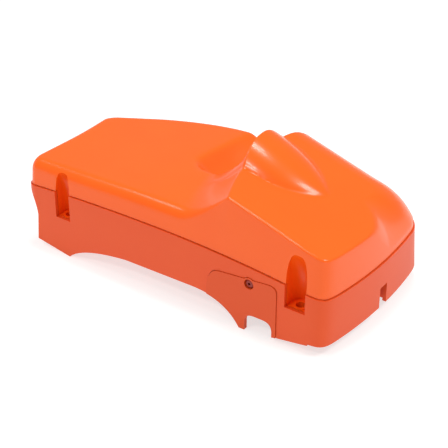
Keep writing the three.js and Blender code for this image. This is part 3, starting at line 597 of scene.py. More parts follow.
def drawn(points, low_y, high_y):
    """A closed drawing in x and z, anticlockwise seen from the near side, run along y."""
    points = np.array(points, float)
    count = len(points)
    near, far = (np.column_stack([points[:, 0], np.full(count, y), points[:, 1]])
                 for y in (low_y, high_y))
    i = np.arange(count)
    j = (i + 1) % count
    sides = np.stack([i, i + count, j + count, j], 1)
    caps = [i.tolist(), (i[::-1] + count).tolist()]
    mesh = bpy.data.meshes.new("drawn")
    mesh.from_pydata((np.concatenate([near, far]) * MM).tolist(), [], caps + sides.tolist())
    return held("drawn", mesh)


def block(x0, x1, y0, y1, z0, z1):
    """A box from its three spans."""
    return drawn([(x0, z0), (x1, z0), (x1, z1), (x0, z1)], y0, y1)


def across(radius, y0, y1, x, z, segments=64):
    """A round bar along y."""
    turn = around(segments)
    return drawn(np.column_stack([x + radius * np.cos(turn), z + radius * np.sin(turn)]), y0, y1)


trial = post(1, 0, 1, 0, 0, 8)
print("a post of 8 segments has", len(trial.data.polygons), "faces")
drop(trial)

# %% [markdown]
# ## Screw wells and towers
# Four screws hold the cover down. Each sits at the foot of a deep well in the shells' side, so that
# its head is out of the way of hands and hoses. In the tool a well is a slide with a round nose; here
# it is a solid that runs out of the wall as it rises, its depth falling before its width, taken from
# the cover and from the skirt.

# %% Wells
POCKET_FLOOR, POCKET_RADIUS, LEFT_POCKET_RADIUS, POCKET_DEPTH = 33.0, 8.5, 7.2, 8.5
WELL_TOP, LEFT_WELL_TOP = 78.0, 74.0
TOWER_WALL, SLEEVE_RADIUS, SLEEVE_BORE, SLEEVE_FOOT = 2.2, 5.7, 3.6, 17.0
SCREW_SHANK, CLEARANCE, SLEEVE_BASE = 1.9, 0.3, 2.4
LEFT_SCREW, RIGHT_SCREW = along(-0.368), along(0.393)
FAR_SHIFT = 5  # the far right screw stands this much further left
MOUTH = 9  # how far a well's solid stands out of its wall


def tower_places():
    """Each tower's point on its wall, the direction out of the wall, and the screw's axis."""
    far_left = far_wall(LEFT_SCREW)
    slope = (far_wall(LEFT_SCREW + 1) - far_wall(LEFT_SCREW - 1)) / 2
    square = np.array([-slope, 1]) / math.hypot(slope, 1)
    walls = [(LEFT_SCREW, NEAR), (RIGHT_SCREW, NEAR), (LEFT_SCREW, far_left),
             (RIGHT_SCREW - FAR_SHIFT, FAR)]
    outs = [np.array([0, -1]), np.array([0, -1]), square, np.array([0, 1])]
    return [(np.array(wall), out, np.array(wall) - out * POCKET_DEPTH)
            for wall, out in zip(walls, outs)]


towers = tower_places()


def well_rings(place, grow, heights, width, depth, arc=40):
    """U-shaped rings beside a wall. The nose is a half ellipse, and its size falls off with height."""
    wall, out, axis = place
    radius = LEFT_POCKET_RADIUS if axis[0] < 0 else POCKET_RADIUS
    side = np.array([-out[1], out[0]])
    turn = math.pi + np.arange(arc + 1) / arc * math.pi
    rings = []
    for z, w, d in zip(heights, width, depth):
        wide, nose = radius * w + grow, radius * d + grow
        a = np.concatenate([[-wide], wide * np.cos(turn), [wide]])
        b = np.concatenate([[MOUTH], -POCKET_DEPTH * d + nose * np.sin(turn), [MOUTH]])
        rings.append(np.column_stack([wall - np.outer(a, side) + np.outer(b, out), np.full(len(a), z)]))
    middle = [np.broadcast_to(rings[k].mean(0), rings[k].shape) for k in (0, -1)]
    return solid("well", [middle[0], *rings, middle[1]])


def well(place, grow, floor_z, top_extra=0.0, levels=24):
    """A well that runs out of the wall: depth falls as share to the 3.2, width as share to the 6."""
    share = np.linspace(0, 1, levels)
    top = LEFT_WELL_TOP if place[2][0] < 0 else WELL_TOP
    heights = mix(floor_z, top + top_extra, share)
    return well_rings(place, grow, heights, 1 - 0.6 * share**6, 1 - 0.85 * share**3.2)


def shaft(place):
    """Room for a tower to rise through, as wide all the way up as the tower's foot."""
    span = [POCKET_FLOOR - 2.9, WELL_TOP]
    return well_rings(place, TOWER_WALL + CLEARANCE + 0.1, span, (1, 1), (1, 1))


def posts(radius, low, high):
    """An upright bar on each cover screw's axis."""
    return [post(radius, low, high, *axis) for _, _, axis in towers]


# %% The cover's body
LIP_INSET, LIP_WIDTH, LIP_HEIGHT, SKIRT_WALL = 4.8, 1.6, 4.0, 3.0
TOWER_GAP = 0.4  # from the skirt's wall to the towers behind it


def cover_body():
    """Outer skin less the hollow, with a tower round each well and a sleeve under it."""
    body = solid("top_cover", cover_rings(LEDGE, 0, SEAM_GAP))
    hollow_rings = cover_rings(LEDGE + COVER_WALL, COVER_WALL, -6, (2, 6, 20))
    hollow = solid("hollow", hollow_rings)
    room = carve(copy_of(body), "UNION",
                 filled("behind", inset(seam_plan, SKIRT_WALL + TOWER_GAP), SLEEVE_FOOT,
                        lambda x: seam_z(x) + 3))
    walls = []
    for place in towers:
        tower = well(place, TOWER_WALL, POCKET_FLOOR - 2.5, 3)
        walls.append(carve(tower, "INTERSECT", copy_of(room)))
    drop(room)
    body = carve(body, "DIFFERENCE", hollow)
    body = carve(body, "UNION", *walls, *posts(SLEEVE_RADIUS, SLEEVE_FOOT, POCKET_FLOOR))
    body = carve(body, "DIFFERENCE", *(well(place, 0, POCKET_FLOOR) for place in towers))
    body = carve(body, "UNION", *posts(SLEEVE_RADIUS, POCKET_FLOOR - 1, POCKET_FLOOR + 0.8))
    return carve(body, "DIFFERENCE",
                 *posts(SLEEVE_BORE, SLEEVE_FOOT + SLEEVE_BASE, POCKET_FLOOR + 2),
                 *posts(SCREW_SHANK + 0.4, SLEEVE_FOOT - 1, SLEEVE_FOOT + 4))


def finish_edges(thing, angle=32):
    """Smooth shading, with edges sharper than the angle left sharp."""
    thing.data.polygons.foreach_set("use_smooth", np.ones(len(thing.data.polygons), bool))
    thing.data.set_sharp_from_angle(angle=math.radians(angle))
    return thing


def mount(thing, body, node, material, angle=32):
    """A finished piece: its name, edges, body, the frame's node it stands for, and finish."""
    thing.name = node + "_detailed"
    finish_edges(thing, angle)
    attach(thing, body)
    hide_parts(node)
    paint(material, thing)
    return thing


cover = mount(cover_body(), "cover", "top_cover", COVER_PLASTIC)
print("cover:", len(cover.data.polygons), "faces")

# %% [markdown]
# ## The lower skirt
# The skirt is an open band of one wall thickness. Its rim carries a lip that registers the cover.
# Long arches clear the machine's frame, one end is dished, and the other has a slot for a tab. A
# looped profile makes the band, and drawings run along y cut its lower edge.

# %% Lower edge and dished end
WALL_ARCH, END_FOOT, END_TUCK, END_TOE = 19.3, 9.0, 10.5, 8.6
SLOT_Y, SLOT_WIDTH, SLOT_TOP = 2.5, 10.0, 26.0


def trace(start, *steps, fine=24):
    """A drawing from straight steps (x, z) and parabolic ones (control x, z, end x, z)."""
    points = [np.array([start])]
    for step in steps:
        last = points[-1][-1]
        t = np.arange(1, fine + 1)[:, None] / fine if len(step) == 4 else np.array([[1.0]])
        control, end = np.array(step[:2]), np.array(step[-2:])
        if len(step) == 2:
            control = (last + end) / 2
        points.append((1 - t) ** 2 * last + 2 * t * (1 - t) * control + t**2 * end)
    return np.concatenate(points)


def wall_edge(hooked):
    """What the lower edge of a side wall leaves out. The near wall has a hook and a round notch."""
    hook, notch, notch_end, notch_top = along(0.227), along(0.244), along(0.328), 14.8
    steps = [(LEFT - 10, 8.7), (along(-0.353), 0), (along(-0.305), 13.5, along(-0.148), WALL_ARCH - 1),
             (along(0.068), WALL_ARCH), (along(0.181), WALL_ARCH + 1, hook, 0)]
    if hooked:
        steps += [(notch, 0), (notch, 8), (notch + 0.5, notch_top, notch + 9, notch_top),
                  (notch_end - 8, notch_top), (notch_end, notch_top, notch_end, 7)]
    steps += [(notch_end, 3), (along(0.461), END_FOOT), (LENGTH, END_FOOT), (LENGTH, -5)]
    return trace((LEFT - 10, -5), *steps)[::-1]


def concave_end(thickness):
    """The dished end's outer face moved in by a thickness, with all beyond it."""
    tuck, toe = LEFT + END_TUCK + thickness, LEFT + END_TOE + thickness
    return trace((LEFT - 5, -6), (toe, -6), (toe, 6.3), (tuck, 28),
                 (tuck - 1, 42, LEFT + thickness, 53), (LEFT - 5, 53))


def skirt_rings():
    """The band's profile, as rings: up the outside, over the rim and lip, and down the inside."""
    x = seam_plan[:, 0]
    lip, lip_in = inset(seam_plan, LIP_INSET), inset(seam_plan, LIP_INSET + LIP_WIDTH)
    inner, foot_in = inset(seam_plan, SKIRT_WALL), inset(foot_plan, SKIRT_WALL)
    rise = seam_z(x)
    outside = [np.column_stack([mix(foot_plan, seam_plan, t), rise * t]) for t in np.linspace(0, 1, 13)]
    rim = band(lip, [seam_z(lip[:, 0]), seam_z(lip[:, 0]) + LIP_HEIGHT])
    rim += band(lip_in, [seam_z(lip_in[:, 0]) + LIP_HEIGHT, seam_z(lip_in[:, 0]) - 5])
    inside = [np.column_stack([mix(inner, foot_in, t), (seam_z(inner[:, 0]) - 9) * (1 - t)])
              for t in np.linspace(0, 1, 7)]
    return outside + rim + inside


# %% The blanking plate and its recess
PLATE_THICKNESS, PLATE_PROUD, PLATE_TOP, PLATE_SHOULDER = 1.6, 0.6, 46.5, 42.0
PLATE_SCREW_X, PLATE_SCREW_Z, PLATE_CUP = along(0.257), 40.8, 2.8


def plate_outline(grow):
    """The plate's drawing in x and z, larger all round by an amount, which runs below the floor."""
    left, right, top = along(0.124) - grow, along(0.34) + grow, PLATE_TOP + grow
    return trace((left, -3), (right, -3), (right, top - 6), (right, top, right - 6, top),
                 (left + 11, PLATE_SHOULDER + grow),
                 (left + 2, PLATE_SHOULDER - 1 + grow, left, 26))


def bar_at_screw(radius, y0, y1):
    """A round bar on the plate screw's axis."""
    return across(radius, y0, y1, PLATE_SCREW_X, PLATE_SCREW_Z)


# %% The skirt's body
BEAM_XS, BEAM_TOP, BEAM_HEIGHT, BEAM_WIDTH = (along(0.117), RIGHT - 13), 26.5, 7.0, 8.0
TRAY_WIDTH, BOSS_RADIUS, BOSS_FOOT, INSERT_RADIUS = 92.0, 6.4, 7.5, 3.3
tray_screws = [(x, side * 0.4 * TRAY_WIDTH) for x in BEAM_XS for side in (-1, 1)]


def boss(place):
    """A round boss under a tower and a rib from it to the wall."""
    wall, out, axis = place
    top = SLEEVE_FOOT - CLEARANCE
    side = np.array([-out[1], out[0]]) * 2
    ends = [axis - out, axis + out * (POCKET_DEPTH - 1)]
    plan = np.array([ends[0] - side, ends[1] - side, ends[1] + side, ends[0] + side])
    plan = plan if np.cross(plan[1] - plan[0], plan[2] - plan[1]) > 0 else plan[::-1]
    return [post(BOSS_RADIUS, BOSS_FOOT, top, *axis), upright("rib", plan, BOSS_FOOT, top)]


def skirt_body():
    """The band with its end wall, guide, beams and bosses, less every opening."""
    body = solid("lower_skirt", skirt_rings(), looped=True)
    bay = filled("bay", inset(foot_plan, SKIRT_WALL - 1), 0, lambda x: seam_z(x) - 4)
    bay_copy = [copy_of(bay) for _ in BEAM_XS]
    end = drawn(concave_end(SKIRT_WALL), NEAR + 1, FAR)
    end = carve(carve(end, "INTERSECT", bay), "DIFFERENCE",
                block(LEFT - 9, LEFT + 24, NEAR - 9, FAR + 9, -9, 20))
    half, back, reach, top = SLOT_WIDTH / 2 + 3, LENGTH / 2 - 14, LENGTH / 2 - 2, SLOT_TOP + 6
    guide = [block(back, back + 2, SLOT_Y - half - 2, SLOT_Y + half + 2, END_FOOT, top),
             block(back, reach, SLOT_Y - half - 2, SLOT_Y - half, END_FOOT, top),
             block(back, reach, SLOT_Y + half, SLOT_Y + half + 2, END_FOOT, top)]
    body = carve(body, "UNION", end, *guide)
    body = carve(body, "DIFFERENCE", drawn(concave_end(0), NEAR - 9, FAR + 9))
    half = BEAM_WIDTH / 2
    beam_foot = BEAM_TOP - BEAM_HEIGHT
    beams = [carve(block(x - half, x + half, NEAR, FAR, beam_foot, BEAM_TOP), "INTERSECT", room)
             for x, room in zip(BEAM_XS, bay_copy)]
    body = carve(body, "UNION", *beams, bar_at_screw(8, NEAR + SKIRT_WALL - 0.5, NEAR + 14))
    shaft_room = filled("shafts", inset(seam_plan, SKIRT_WALL), POCKET_FLOOR - 4,
                        lambda x: seam_z(x) + 9)
    shafts = [carve(shaft(place), "INTERSECT", copy_of(shaft_room)) for place in towers]
    drop(shaft_room)
    gaps = posts(SLEEVE_RADIUS + CLEARANCE + 0.1, SLEEVE_FOOT - CLEARANCE, POCKET_FLOOR)
    mouths = [well(place, 0, POCKET_FLOOR, 9) for place in towers]
    body = carve(body, "DIFFERENCE", *shafts, *mouths, *gaps)
    body = carve(body, "UNION", *(piece for place in towers for piece in boss(place)))
    holes = posts(INSERT_RADIUS + CLEARANCE, BOSS_FOOT - 1, SLEEVE_FOOT)
    holes += [post(SCREW_SHANK + CLEARANCE, BEAM_TOP - 6, BEAM_TOP + 1, x, y) for x, y in tray_screws]
    recess = drawn(plate_outline(CLEARANCE), NEAR - 3, NEAR + PLATE_THICKNESS - PLATE_PROUD + CLEARANCE)
    holes += [recess, bar_at_screw(5.6, NEAR - 1, NEAR + 4.6)]
    holes += [bar_at_screw(SCREW_SHANK + CLEARANCE, NEAR, NEAR + 20)]
    edges = [drawn(wall_edge(True), NEAR - 6, NEAR + 18), drawn(wall_edge(False), NEAR + 18, FAR + 6)]
    half = SLOT_WIDTH / 2
    slots = [block(RIGHT - 12, LENGTH, NEAR - 9, FAR + 9, -5, END_FOOT),
             block(LENGTH / 2 - 11, LENGTH, SLOT_Y - half, SLOT_Y + half, -5, SLOT_TOP)]
    return carve(body, "DIFFERENCE", *holes, *edges, *slots)


skirt = mount(skirt_body(), "housing", "lower_skirt", SKIRT_PLASTIC)
print("skirt:", len(skirt.data.polygons), "faces")


def plate_body():
    """The plate, a little proud of the wall, with a cup for its screw."""
    face = NEAR - PLATE_PROUD
    plate = drawn(plate_outline(0), face, face + PLATE_THICKNESS)
    plate.name = "side_plate"
    plate = carve(plate, "DIFFERENCE", drawn(wall_edge(True), NEAR - 6, NEAR + 18))
    plate = carve(plate, "UNION", bar_at_screw(5.2, face, NEAR + 4.2))
    return carve(plate, "DIFFERENCE", bar_at_screw(4, face - 1, NEAR + PLATE_CUP),
                 bar_at_screw(SCREW_SHANK + CLEARANCE, NEAR, NEAR + 9))


plate = mount(plate_body(), "plate", "side_plate", PLATE_PLASTIC)
print("plate:", len(plate.data.polygons), "faces")

# %% [markdown]
# ## Screws, washers and inserts
# The shells are held by thread-forming steel screws that stand in brass inserts. Each is a turned
# part, so its surface is a profile run round an axis. Edges are eased with small parabolas, because
# a dead sharp edge never catches the light. A thread is the same surface with a radius that follows
# a helix, and a knurl is one with two crossed sets of grooves.


# %% Eased profiles and turned pieces
def eased(profile, radius, steps=5):
    """Each corner off the axis becomes a parabola that starts a radius away along both edges."""
    p = np.array(profile, float)
    before, after = np.roll(p, 1, 0) - p, np.roll(p, -1, 0) - p
    reach = [np.linalg.norm(d, axis=1, keepdims=True) for d in (before, after)]
    keep = (p[:, :1] > 1e-9) * radius
    a, b = (p + d / np.maximum(r, 1e-9) * np.minimum(keep, 0.45 * r)
            for d, r in zip((before, after), reach))
    t = np.linspace(0, 1, steps)[None, :, None]
    curve = (1 - t) ** 2 * a[:, None] + 2 * t * (1 - t) * p[:, None] + t**2 * b[:, None]
    return curve.reshape(-1, 2)


def turned(name, profile, x=0.0, y=0.0, radius=0.25, segments=72):
    """A turned piece from a profile of (radius, height), closed on the axis or looped as a ring."""
    ring = min(r for r, _ in profile) > 0
    rings = turned_rings(eased(profile, radius), x, y, segments)
    return solid(name, rings, looped=ring)


def helix(radius, depth, pitch, low, high, x, y, segments=48, per_turn=8):
    """Rings whose radius sinks by a depth along a helix: |sin| of the turn plus height over pitch."""
    count = max(int((high - low) / pitch * per_turn), 2)
    turn = around(segments)
    return [circle(radius - depth * np.abs(np.sin(turn / 2 - math.pi * z / pitch)) ** 1.5,
                   x, y, z, segments) for z in np.linspace(low, high, count)]


PAN_HEIGHT = 2.4


def pan_screw(name, x, y, seat, length, head):
    """A pan head on a threaded shank with a six-sided socket. seat is the level under the head."""
    shank = turned_rings([(0, seat - length), (SCREW_SHANK - 0.6, seat - length)], x, y, 48)
    shank += helix(SCREW_SHANK, 0.32, 1.1, seat - length + 1, seat - 1.2, x, y)
    neck = SCREW_SHANK - 0.15
    crown = [(neck, seat - 0.8), (neck, seat), (head, seat), (head, seat + 1.3)]
    t = np.linspace(0, 1, 7)[1:]
    crown += list(zip(head - (head - 1.5) * (1 - np.cos(t * math.pi / 2)),
                      seat + 1.3 + 1.1 * np.sin(t * math.pi / 2)))
    rings = shank + turned_rings(crown, x, y, 48) + turned_rings([(0, seat + PAN_HEIGHT)], x, y, 48)
    body = solid(name, rings)
    return carve(body, "DIFFERENCE", post(1.3, seat + 0.9, seat + 4, x, y, 6))


# %% Metals and a deep red of painted shade
# Hot black oxide on steel leaves a dark, slightly uneven satin with a hint of blue.
BLACK_OXIDE = finish("black_oxide_steel", "#26262a", 0.42, 0.9, grain=((0.6, 0.004),),
                     tint=(3, "#33343a", 0.6))
# The plate's screw is a deep red that is painted shade, the colour of its shaded recess, with a soft
# sheen.
PLATE_SCREW_SHADE_RED = finish("deep_red_painted_shade", "#8f2417", 0.45,
                    grain=((0.5, 0.004),), tint=(2, "#a5301f", 0.6))
# Bright zinc plate has a soft, cool grey sheen with a faint mottle.
ZINC_PLATE = finish("bright_zinc_plated_steel", "#b4b8bd", 0.34, 1.0, grain=((0.9, 0.006),),
                    tint=(5, "#d0d2d4", 0.7))
# Turned brass shows a warm gloss that dulls a little where it was handled.
TURNED_BRASS = finish("turned_brass", "#c9973a", 0.3, 1.0,
                      grain=((0.4, 0.003),), tint=(4, "#d9b262", 0.6))

# %% Cover screws with their washers and inserts
SEAT = SLEEVE_FOOT + SLEEVE_BASE + CLEARANCE
INSERT_TOP = SLEEVE_FOOT - CLEARANCE - 0.4


def knurled_insert(name, x, y):
    """A ring whose outside dips along two crossed sets of 20 grooves, with a groove at mid height."""
    turn = around(120)
    rings = []
    for z in np.linspace(BOSS_FOOT, INSERT_TOP, 31):
        share = (z - BOSS_FOOT) / (INSERT_TOP - BOSS_FOOT)
        ends = min(share, 1 - share) < 0.04
        cross = [np.abs(np.sin(10 * turn + sign * 1.4 * (z - BOSS_FOOT))) for sign in (-1, 1)]
        dip = 0.2 if ends else (0.5 if abs(share - 0.5) < 0.07 else 0.22 * (1 - np.minimum(*cross)))
        rings.append(circle(INSERT_RADIUS - dip, x, y, z, 120))
    rings += turned_rings([(2.2, INSERT_TOP), (2.2, BOSS_FOOT)], x, y, 120)
    return solid(name, rings, looped=True)


for k, (_, _, (x, y)) in enumerate(towers, 1):
    screw = pan_screw(f"cover_screw_{k}", x, y, SEAT + 1.1, 12.6, 3.1)
    mount(screw, f"screw_{k}", f"cover_screw_{k}", BLACK_OXIDE)
    washer_top = SEAT + 0.8
    washer = turned("washer", [(2.2, SEAT), (3.2, SEAT), (3.2, washer_top), (2.2, washer_top)],
                    x, y, 0.12)
    mount(washer, f"screw_{k}", f"screw_washer_{k}", ZINC_PLATE)
    mount(knurled_insert("insert", x, y), "housing", f"threaded_insert_{k}", TURNED_BRASS)
print("cover screws stand at", [tuple(round(float(v), 1) for v in axis) for _, _, axis in towers])

# %% The plate's screw
plate_screw = pan_screw("side_plate_screw", 0.0, 0.0, 0.0, 12, 3.4)
head_y = NEAR + PLATE_CUP - CLEARANCE
outwards = Matrix.Translation(np.array([PLATE_SCREW_X, head_y, PLATE_SCREW_Z]) * MM)
plate_screw.data.transform(outwards @ Matrix.Rotation(math.radians(90), 4, "X"))
# The screw's deep red is painted shade: it stands in for the shadow in the plate's recess.
mount(plate_screw, "plate_screw", "side_plate_screw", PLATE_SCREW_SHADE_RED)
sunk = round(PLATE_CUP - CLEARANCE - PAN_HEIGHT + PLATE_PROUD, 2)
print("plate screw's head lies", sunk, "mm under the plate's face")

# %% [markdown]
# ## The tray and the filter on it
# The tray is a glass-filled nylon plate that bridges two beams. Its neck takes the rubber boot and a
# three-armed hub holds the stud. The filter itself is a folded paper ring between two cast seals,
# round a slotted steel cage. The fold is one closed wall whose radius swings in and out 36 times.

# %% Filter levels
TRAY_BASE = BEAM_TOP + CLEARANCE
TRAY_TOP = TRAY_BASE + 3
SEAL_BASE = TRAY_TOP + CLEARANCE
PLEAT_BASE = SEAL_BASE + 4 + CLEARANCE
FILTER_HEIGHT, FILTER_RADIUS, FILTER_BORE, NECK_RADIUS, STUD_RADIUS = 34.0, 38.0, 21.0, 20.0, 3.0
CAP_BASE = PLEAT_BASE + FILTER_HEIGHT + CLEARANCE
CAP_TOP = CAP_BASE + 4.5
KNOB_BASE = CAP_TOP + 2 * CLEARANCE + 1.6
FILTER_X = along(0.266)
# Glass fibres at the surface of moulded nylon make it a dull, slightly mottled black.
GLASS_NYLON = finish("glass_filled_black_nylon", "#1f2023", 0.5,
                     grain=((0.5, 0.01),), tint=(2.5, "#2f3034", 0.6))
# Moulded rubber is nearly black and scatters light softly, with a faint bloom.
MOULDED_RUBBER = finish("moulded_nitrile_rubber", "#17181a", 0.72,
                        grain=((0.7, 0.01),), tint=(12, "#26272a", 0.6))
# Cast polyurethane has a skin like soft leather, dark grey and faintly glossy.
CAST_URETHANE = finish("cast_polyurethane", "#3a3b41", 0.5,
                       grain=((1.3, 0.03),), tint=(9, "#4a4b52", 0.6))
# Resin-treated filter paper is a warm buff with fibres that show as fine mottling.
FILTER_PAPER = finish("resin_treated_filter_paper", "#d3bc82", 0.92,
                      grain=((0.35, 0.03),), tint=(1.6, "#e8d9ae", 0.9))


# %% Spokes and the tray
def spoke(start, end, half, low, high, turn, x, y=0.0):
    """A bar from one radius to another, turned about x, y."""
    plan = np.array([[start, -half], [end, -half], [end, half], [start, half]])
    c, s = math.cos(turn), math.sin(turn)
    return upright("spoke", plan @ np.array([[c, s], [-s, c]]) + (x, y), low, high)


def round_rectangle(x0, x1, y0, y1, radius, steps=8):
    """Corners as quarter circles, anticlockwise."""
    turn = np.arange(steps + 1) / steps * math.pi / 2
    centres = [(x1 - radius, y1 - radius), (x0 + radius, y1 - radius), (x0 + radius, y0 + radius),
               (x1 - radius, y0 + radius)]
    return np.concatenate([np.column_stack([cx + radius * np.cos(turn + q * math.pi / 2),
                                            cy + radius * np.sin(turn + q * math.pi / 2)])
                           for q, (cx, cy) in enumerate(centres)])


def tray_body():
    """A plate with a neck and a hub on three arms, less its holes."""
    x0, x1 = BEAM_XS[0] - BEAM_WIDTH / 2 - 2, BEAM_XS[1] + BEAM_WIDTH / 2 + 1
    half = TRAY_WIDTH / 2
    body = upright("tray", round_rectangle(x0, x1, -half, half, 4), TRAY_BASE, TRAY_TOP)
    body = carve(body, "UNION", post(NECK_RADIUS, 11, TRAY_BASE + 1, FILTER_X, 0))
    body = carve(body, "DIFFERENCE", post(NECK_RADIUS - 2.4, 10, TRAY_TOP + 1, FILTER_X, 0))
    arms = [spoke(2, NECK_RADIUS - 1, 1.5, TRAY_BASE - 3, TRAY_BASE + 3, k * 2 * math.pi / 3, FILTER_X)
            for k in range(3)]
    body = carve(body, "UNION", *arms, post(6, TRAY_BASE - 4, TRAY_TOP, FILTER_X, 0))
    holes = [post(SCREW_SHANK + CLEARANCE, TRAY_BASE - 1, TRAY_TOP + 1, x, y, 32)
             for x, y in tray_screws]
    stud_hole = post(STUD_RADIUS + CLEARANCE, 0, TRAY_TOP + 1, FILTER_X, 0)
    return carve(body, "DIFFERENCE", stud_hole, *holes)


mount(tray_body(), "housing", "filter_tray", GLASS_NYLON)
for k, (x, y) in enumerate(tray_screws, 1):
    screw = pan_screw("tray screw", x, y, TRAY_TOP + CLEARANCE, 9, 3.4)
    mount(screw, "housing", f"tray_screw_{k}", ZINC_PLATE)
print("tray with", len(tray_screws), "screws")


# %% The pleated paper
def pleat_wall(pleats=36, per_pleat=14, seed=4):
    """A closed paper wall: radius is the middle plus half the depth times a softened triangle wave,
    with each fold's depth varied a little. The two faces stand half a thickness off the middle."""
    count = pleats * per_pleat
    turn = around(count)
    wave = 2 / math.pi * np.arcsin(0.97 * np.sin(pleats * turn)) / 0.95
    vary = 1 - 0.08 * np.random.default_rng(seed).random(pleats).repeat(per_pleat)
    middle, deep = (FILTER_RADIUS + FILTER_BORE) / 2, (FILTER_RADIUS - FILTER_BORE) / 2 - 0.9
    r = middle + deep * wave * vary
    line = np.column_stack([r * np.cos(turn), r * np.sin(turn)])
    step = np.roll(line, -1, 0) - np.roll(line, 1, 0)
    normal = np.column_stack([step[:, 1], -step[:, 0]]) / np.linalg.norm(step, axis=1, keepdims=True)
    outer, inner = (line + normal * side * 0.42 + (FILTER_X, 0) for side in (1, -1))
    top = PLEAT_BASE + FILTER_HEIGHT
    rings = band(outer, np.linspace(PLEAT_BASE, top, 5)) + band(inner, np.linspace(top, PLEAT_BASE, 5))
    return solid("pleats", rings, looped=True)


mount(pleat_wall(), "filter", "filter_pleats", FILTER_PAPER, 60)

# %% Seals, cage and cap
S, R = SEAL_BASE, FILTER_RADIUS
base_seal = turned("seal", [(FILTER_BORE, S), (R - 2, S), (R - 1, S + 0.6), (R + 1, S), (R + 2, S + 1),
                            (R + 2, S + 3), (R + 1, S + 4), (FILTER_BORE, S + 4)],
                   FILTER_X, 0, 0.6, 144)
mount(base_seal, "filter", "filter_base_seal", CAST_URETHANE)
C = CAP_BASE
cap = turned("cap", [(STUD_RADIUS + 0.6, C), (R + 0.5, C), (R + 1.5, C + 1), (R + 1.5, CAP_TOP - 1.5),
                     (R, CAP_TOP), (R - 3, CAP_TOP), (R - 4.5, CAP_TOP - 0.8), (15, CAP_TOP - 0.8),
                     (13, CAP_TOP), (STUD_RADIUS + 0.6, CAP_TOP)], FILTER_X, 0, 0.7, 144)
mount(cap, "filter", "filter_top_cap", CAST_URETHANE)


def cage_body(slots=8):
    """A thin tube less a ring of upright slots."""
    z0, z1 = PLEAT_BASE, PLEAT_BASE + FILTER_HEIGHT
    inner, outer = FILTER_BORE - 2, FILTER_BORE - 0.5
    wall = [(inner, z0), (outer, z0), (outer, z1), (inner, z1)]
    gaps = [spoke(inner - 2, outer + 3.5, 4, z0 + 5, z1 - 5, (k + 0.5) / slots * 2 * math.pi, FILTER_X)
            for k in range(slots)]
    return carve(turned("cage", wall, FILTER_X, 0, 0.2, 144), "DIFFERENCE", *gaps)


mount(cage_body(), "filter", "filter_cage", ZINC_PLATE)
W = CAP_TOP + CLEARANCE
washer = turned("washer", [(STUD_RADIUS + 0.4, W), (9, W), (9, KNOB_BASE - CLEARANCE),
                           (STUD_RADIUS + 0.4, KNOB_BASE - CLEARANCE)], FILTER_X, 0, 0.35)
mount(washer, "filter", "cap_washer", MOULDED_RUBBER)
print("filter:", round(CAP_TOP - SEAL_BASE, 1), "mm tall on a", 2 * R, "mm ring")


# %% Stud and knob
def stud_body():
    """A bar with a six-sided head below the hub and a thread from the cap up."""
    head = TRAY_BASE - 4 - CLEARANCE
    rings = turned_rings([(0, head - 2), (STUD_RADIUS, head - 2), (STUD_RADIUS, CAP_BASE - 6)],
                         FILTER_X, 0, 48)
    rings += helix(STUD_RADIUS, 0.35, 1.25, CAP_BASE - 5.5, KNOB_BASE + 4.4, FILTER_X, 0)
    rings += turned_rings([(STUD_RADIUS - 0.6, KNOB_BASE + 5), (0, KNOB_BASE + 5)], FILTER_X, 0, 48)
    return carve(solid("stud", rings), "UNION", post(5.2, head - 4, head, FILTER_X, 0, 6))


def knob_body(lobes=6):
    """A turned grip on a collar, scalloped by round cutters, with a blind bore from below."""
    z = KNOB_BASE
    grip = turned("knob", [(0, z), (7, z), (7, z + 2), (13, z + 3), (13, z + 8), (11.5, z + 9.5),
                           (0, z + 9.5)], FILTER_X, 0, 0.9, 144)
    cuts = [post(4, z + 1, z + 12, FILTER_X + 15 * np.cos(t), 15 * np.sin(t), 64)
            for t in around(lobes)]
    return carve(grip, "DIFFERENCE", *cuts, post(STUD_RADIUS + CLEARANCE, z - 1, z + 6, FILTER_X, 0))


mount(stud_body(), "housing", "centre_stud", ZINC_PLATE)
mount(knob_body(), "knob", "clamp_knob", GLASS_NYLON)

# %% [markdown]
# ## Boot and clamp
# A rubber boot joins the tray's neck to the carburettor, and a worm-drive clamp closes on it. The boot
# is one turned profile with a bead and a flange. The clamp is a band with a small housing that
# holds its screw across.

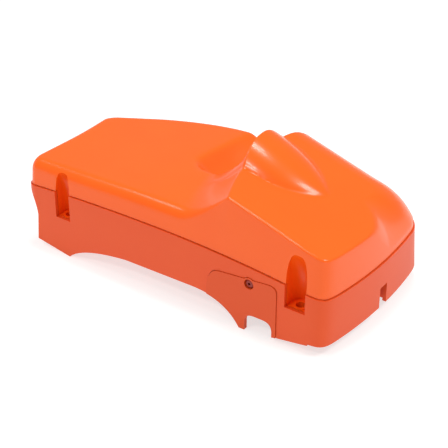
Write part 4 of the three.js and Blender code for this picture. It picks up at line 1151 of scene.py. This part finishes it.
# %% Boot, clamp and screw
B = NECK_RADIUS + CLEARANCE
BAND_RADIUS = B + 3 + CLEARANCE
CLAMP_LOW, CLAMP_HIGH, CLAMP_Y = 12, 18.5, -(BAND_RADIUS + 2.6)
WORM_Y, WORM_Z = CLAMP_Y - 0.4, (CLAMP_LOW + CLAMP_HIGH) / 2
boot = turned("boot", [(B, 10.6), (B - 3.4, 9.4), (B - 3.4, 1.5), (B + 8, 1.5), (B + 8, 4.5),
                       (B + 3, 5.5), (B + 3, 9), (B + 4, 10), (B + 3, 11), (B + 3, 20), (B, 20)],
              FILTER_X, 0, 0.8, 144)
mount(boot, "housing", "intake_boot", MOULDED_RUBBER)


def lying(radius, x0, x1, y, z, segments=48):
    """A round or six-sided bar along x."""
    rings = turned_rings(eased([(0, x0), (radius, x0), (radius, x1), (0, x1)], 0.2), 0, 0, segments)
    rings = [np.column_stack([r[:, 2], y + r[:, 0], z + r[:, 1]]) for r in rings]
    return solid("bar", rings)


def clamp_body():
    """A thin band and a block with a bore for the worm."""
    outer = BAND_RADIUS + 1
    hoop = turned("hoop", [(BAND_RADIUS, CLAMP_LOW), (outer, CLAMP_LOW), (outer, CLAMP_HIGH),
                           (BAND_RADIUS, CLAMP_HIGH)], FILTER_X, 0, 0.25, 144)
    hoop = carve(hoop, "UNION", block(FILTER_X - 7, FILTER_X + 7, CLAMP_Y - 3, CLAMP_Y + 3,
                                      CLAMP_LOW, CLAMP_HIGH))
    inside = post(BAND_RADIUS, 10, 20, FILTER_X, 0, 144)
    return carve(hoop, "DIFFERENCE", inside, lying(2.3, FILTER_X - 20, FILTER_X + 20, WORM_Y, WORM_Z))


def worm_body():
    """The clamp's screw: a bar, a six-sided head and a slot across it."""
    bar = lying(2, FILTER_X - 5.7, FILTER_X + 7.4, WORM_Y, WORM_Z)
    head = lying(3, FILTER_X + 7.3, FILTER_X + 10.3, WORM_Y, WORM_Z, 6)
    slot = block(FILTER_X + 9.5, FILTER_X + 11, WORM_Y - 4, WORM_Y + 4, WORM_Z - 0.4, WORM_Z + 0.4)
    return carve(carve(bar, "UNION", head), "DIFFERENCE", slot)


mount(clamp_body(), "housing", "boot_clamp", ZINC_PLATE)
mount(worm_body(), "housing", "boot_clamp_screw", ZINC_PLATE)
print("boot and clamp on a", 2 * NECK_RADIUS, "mm neck")
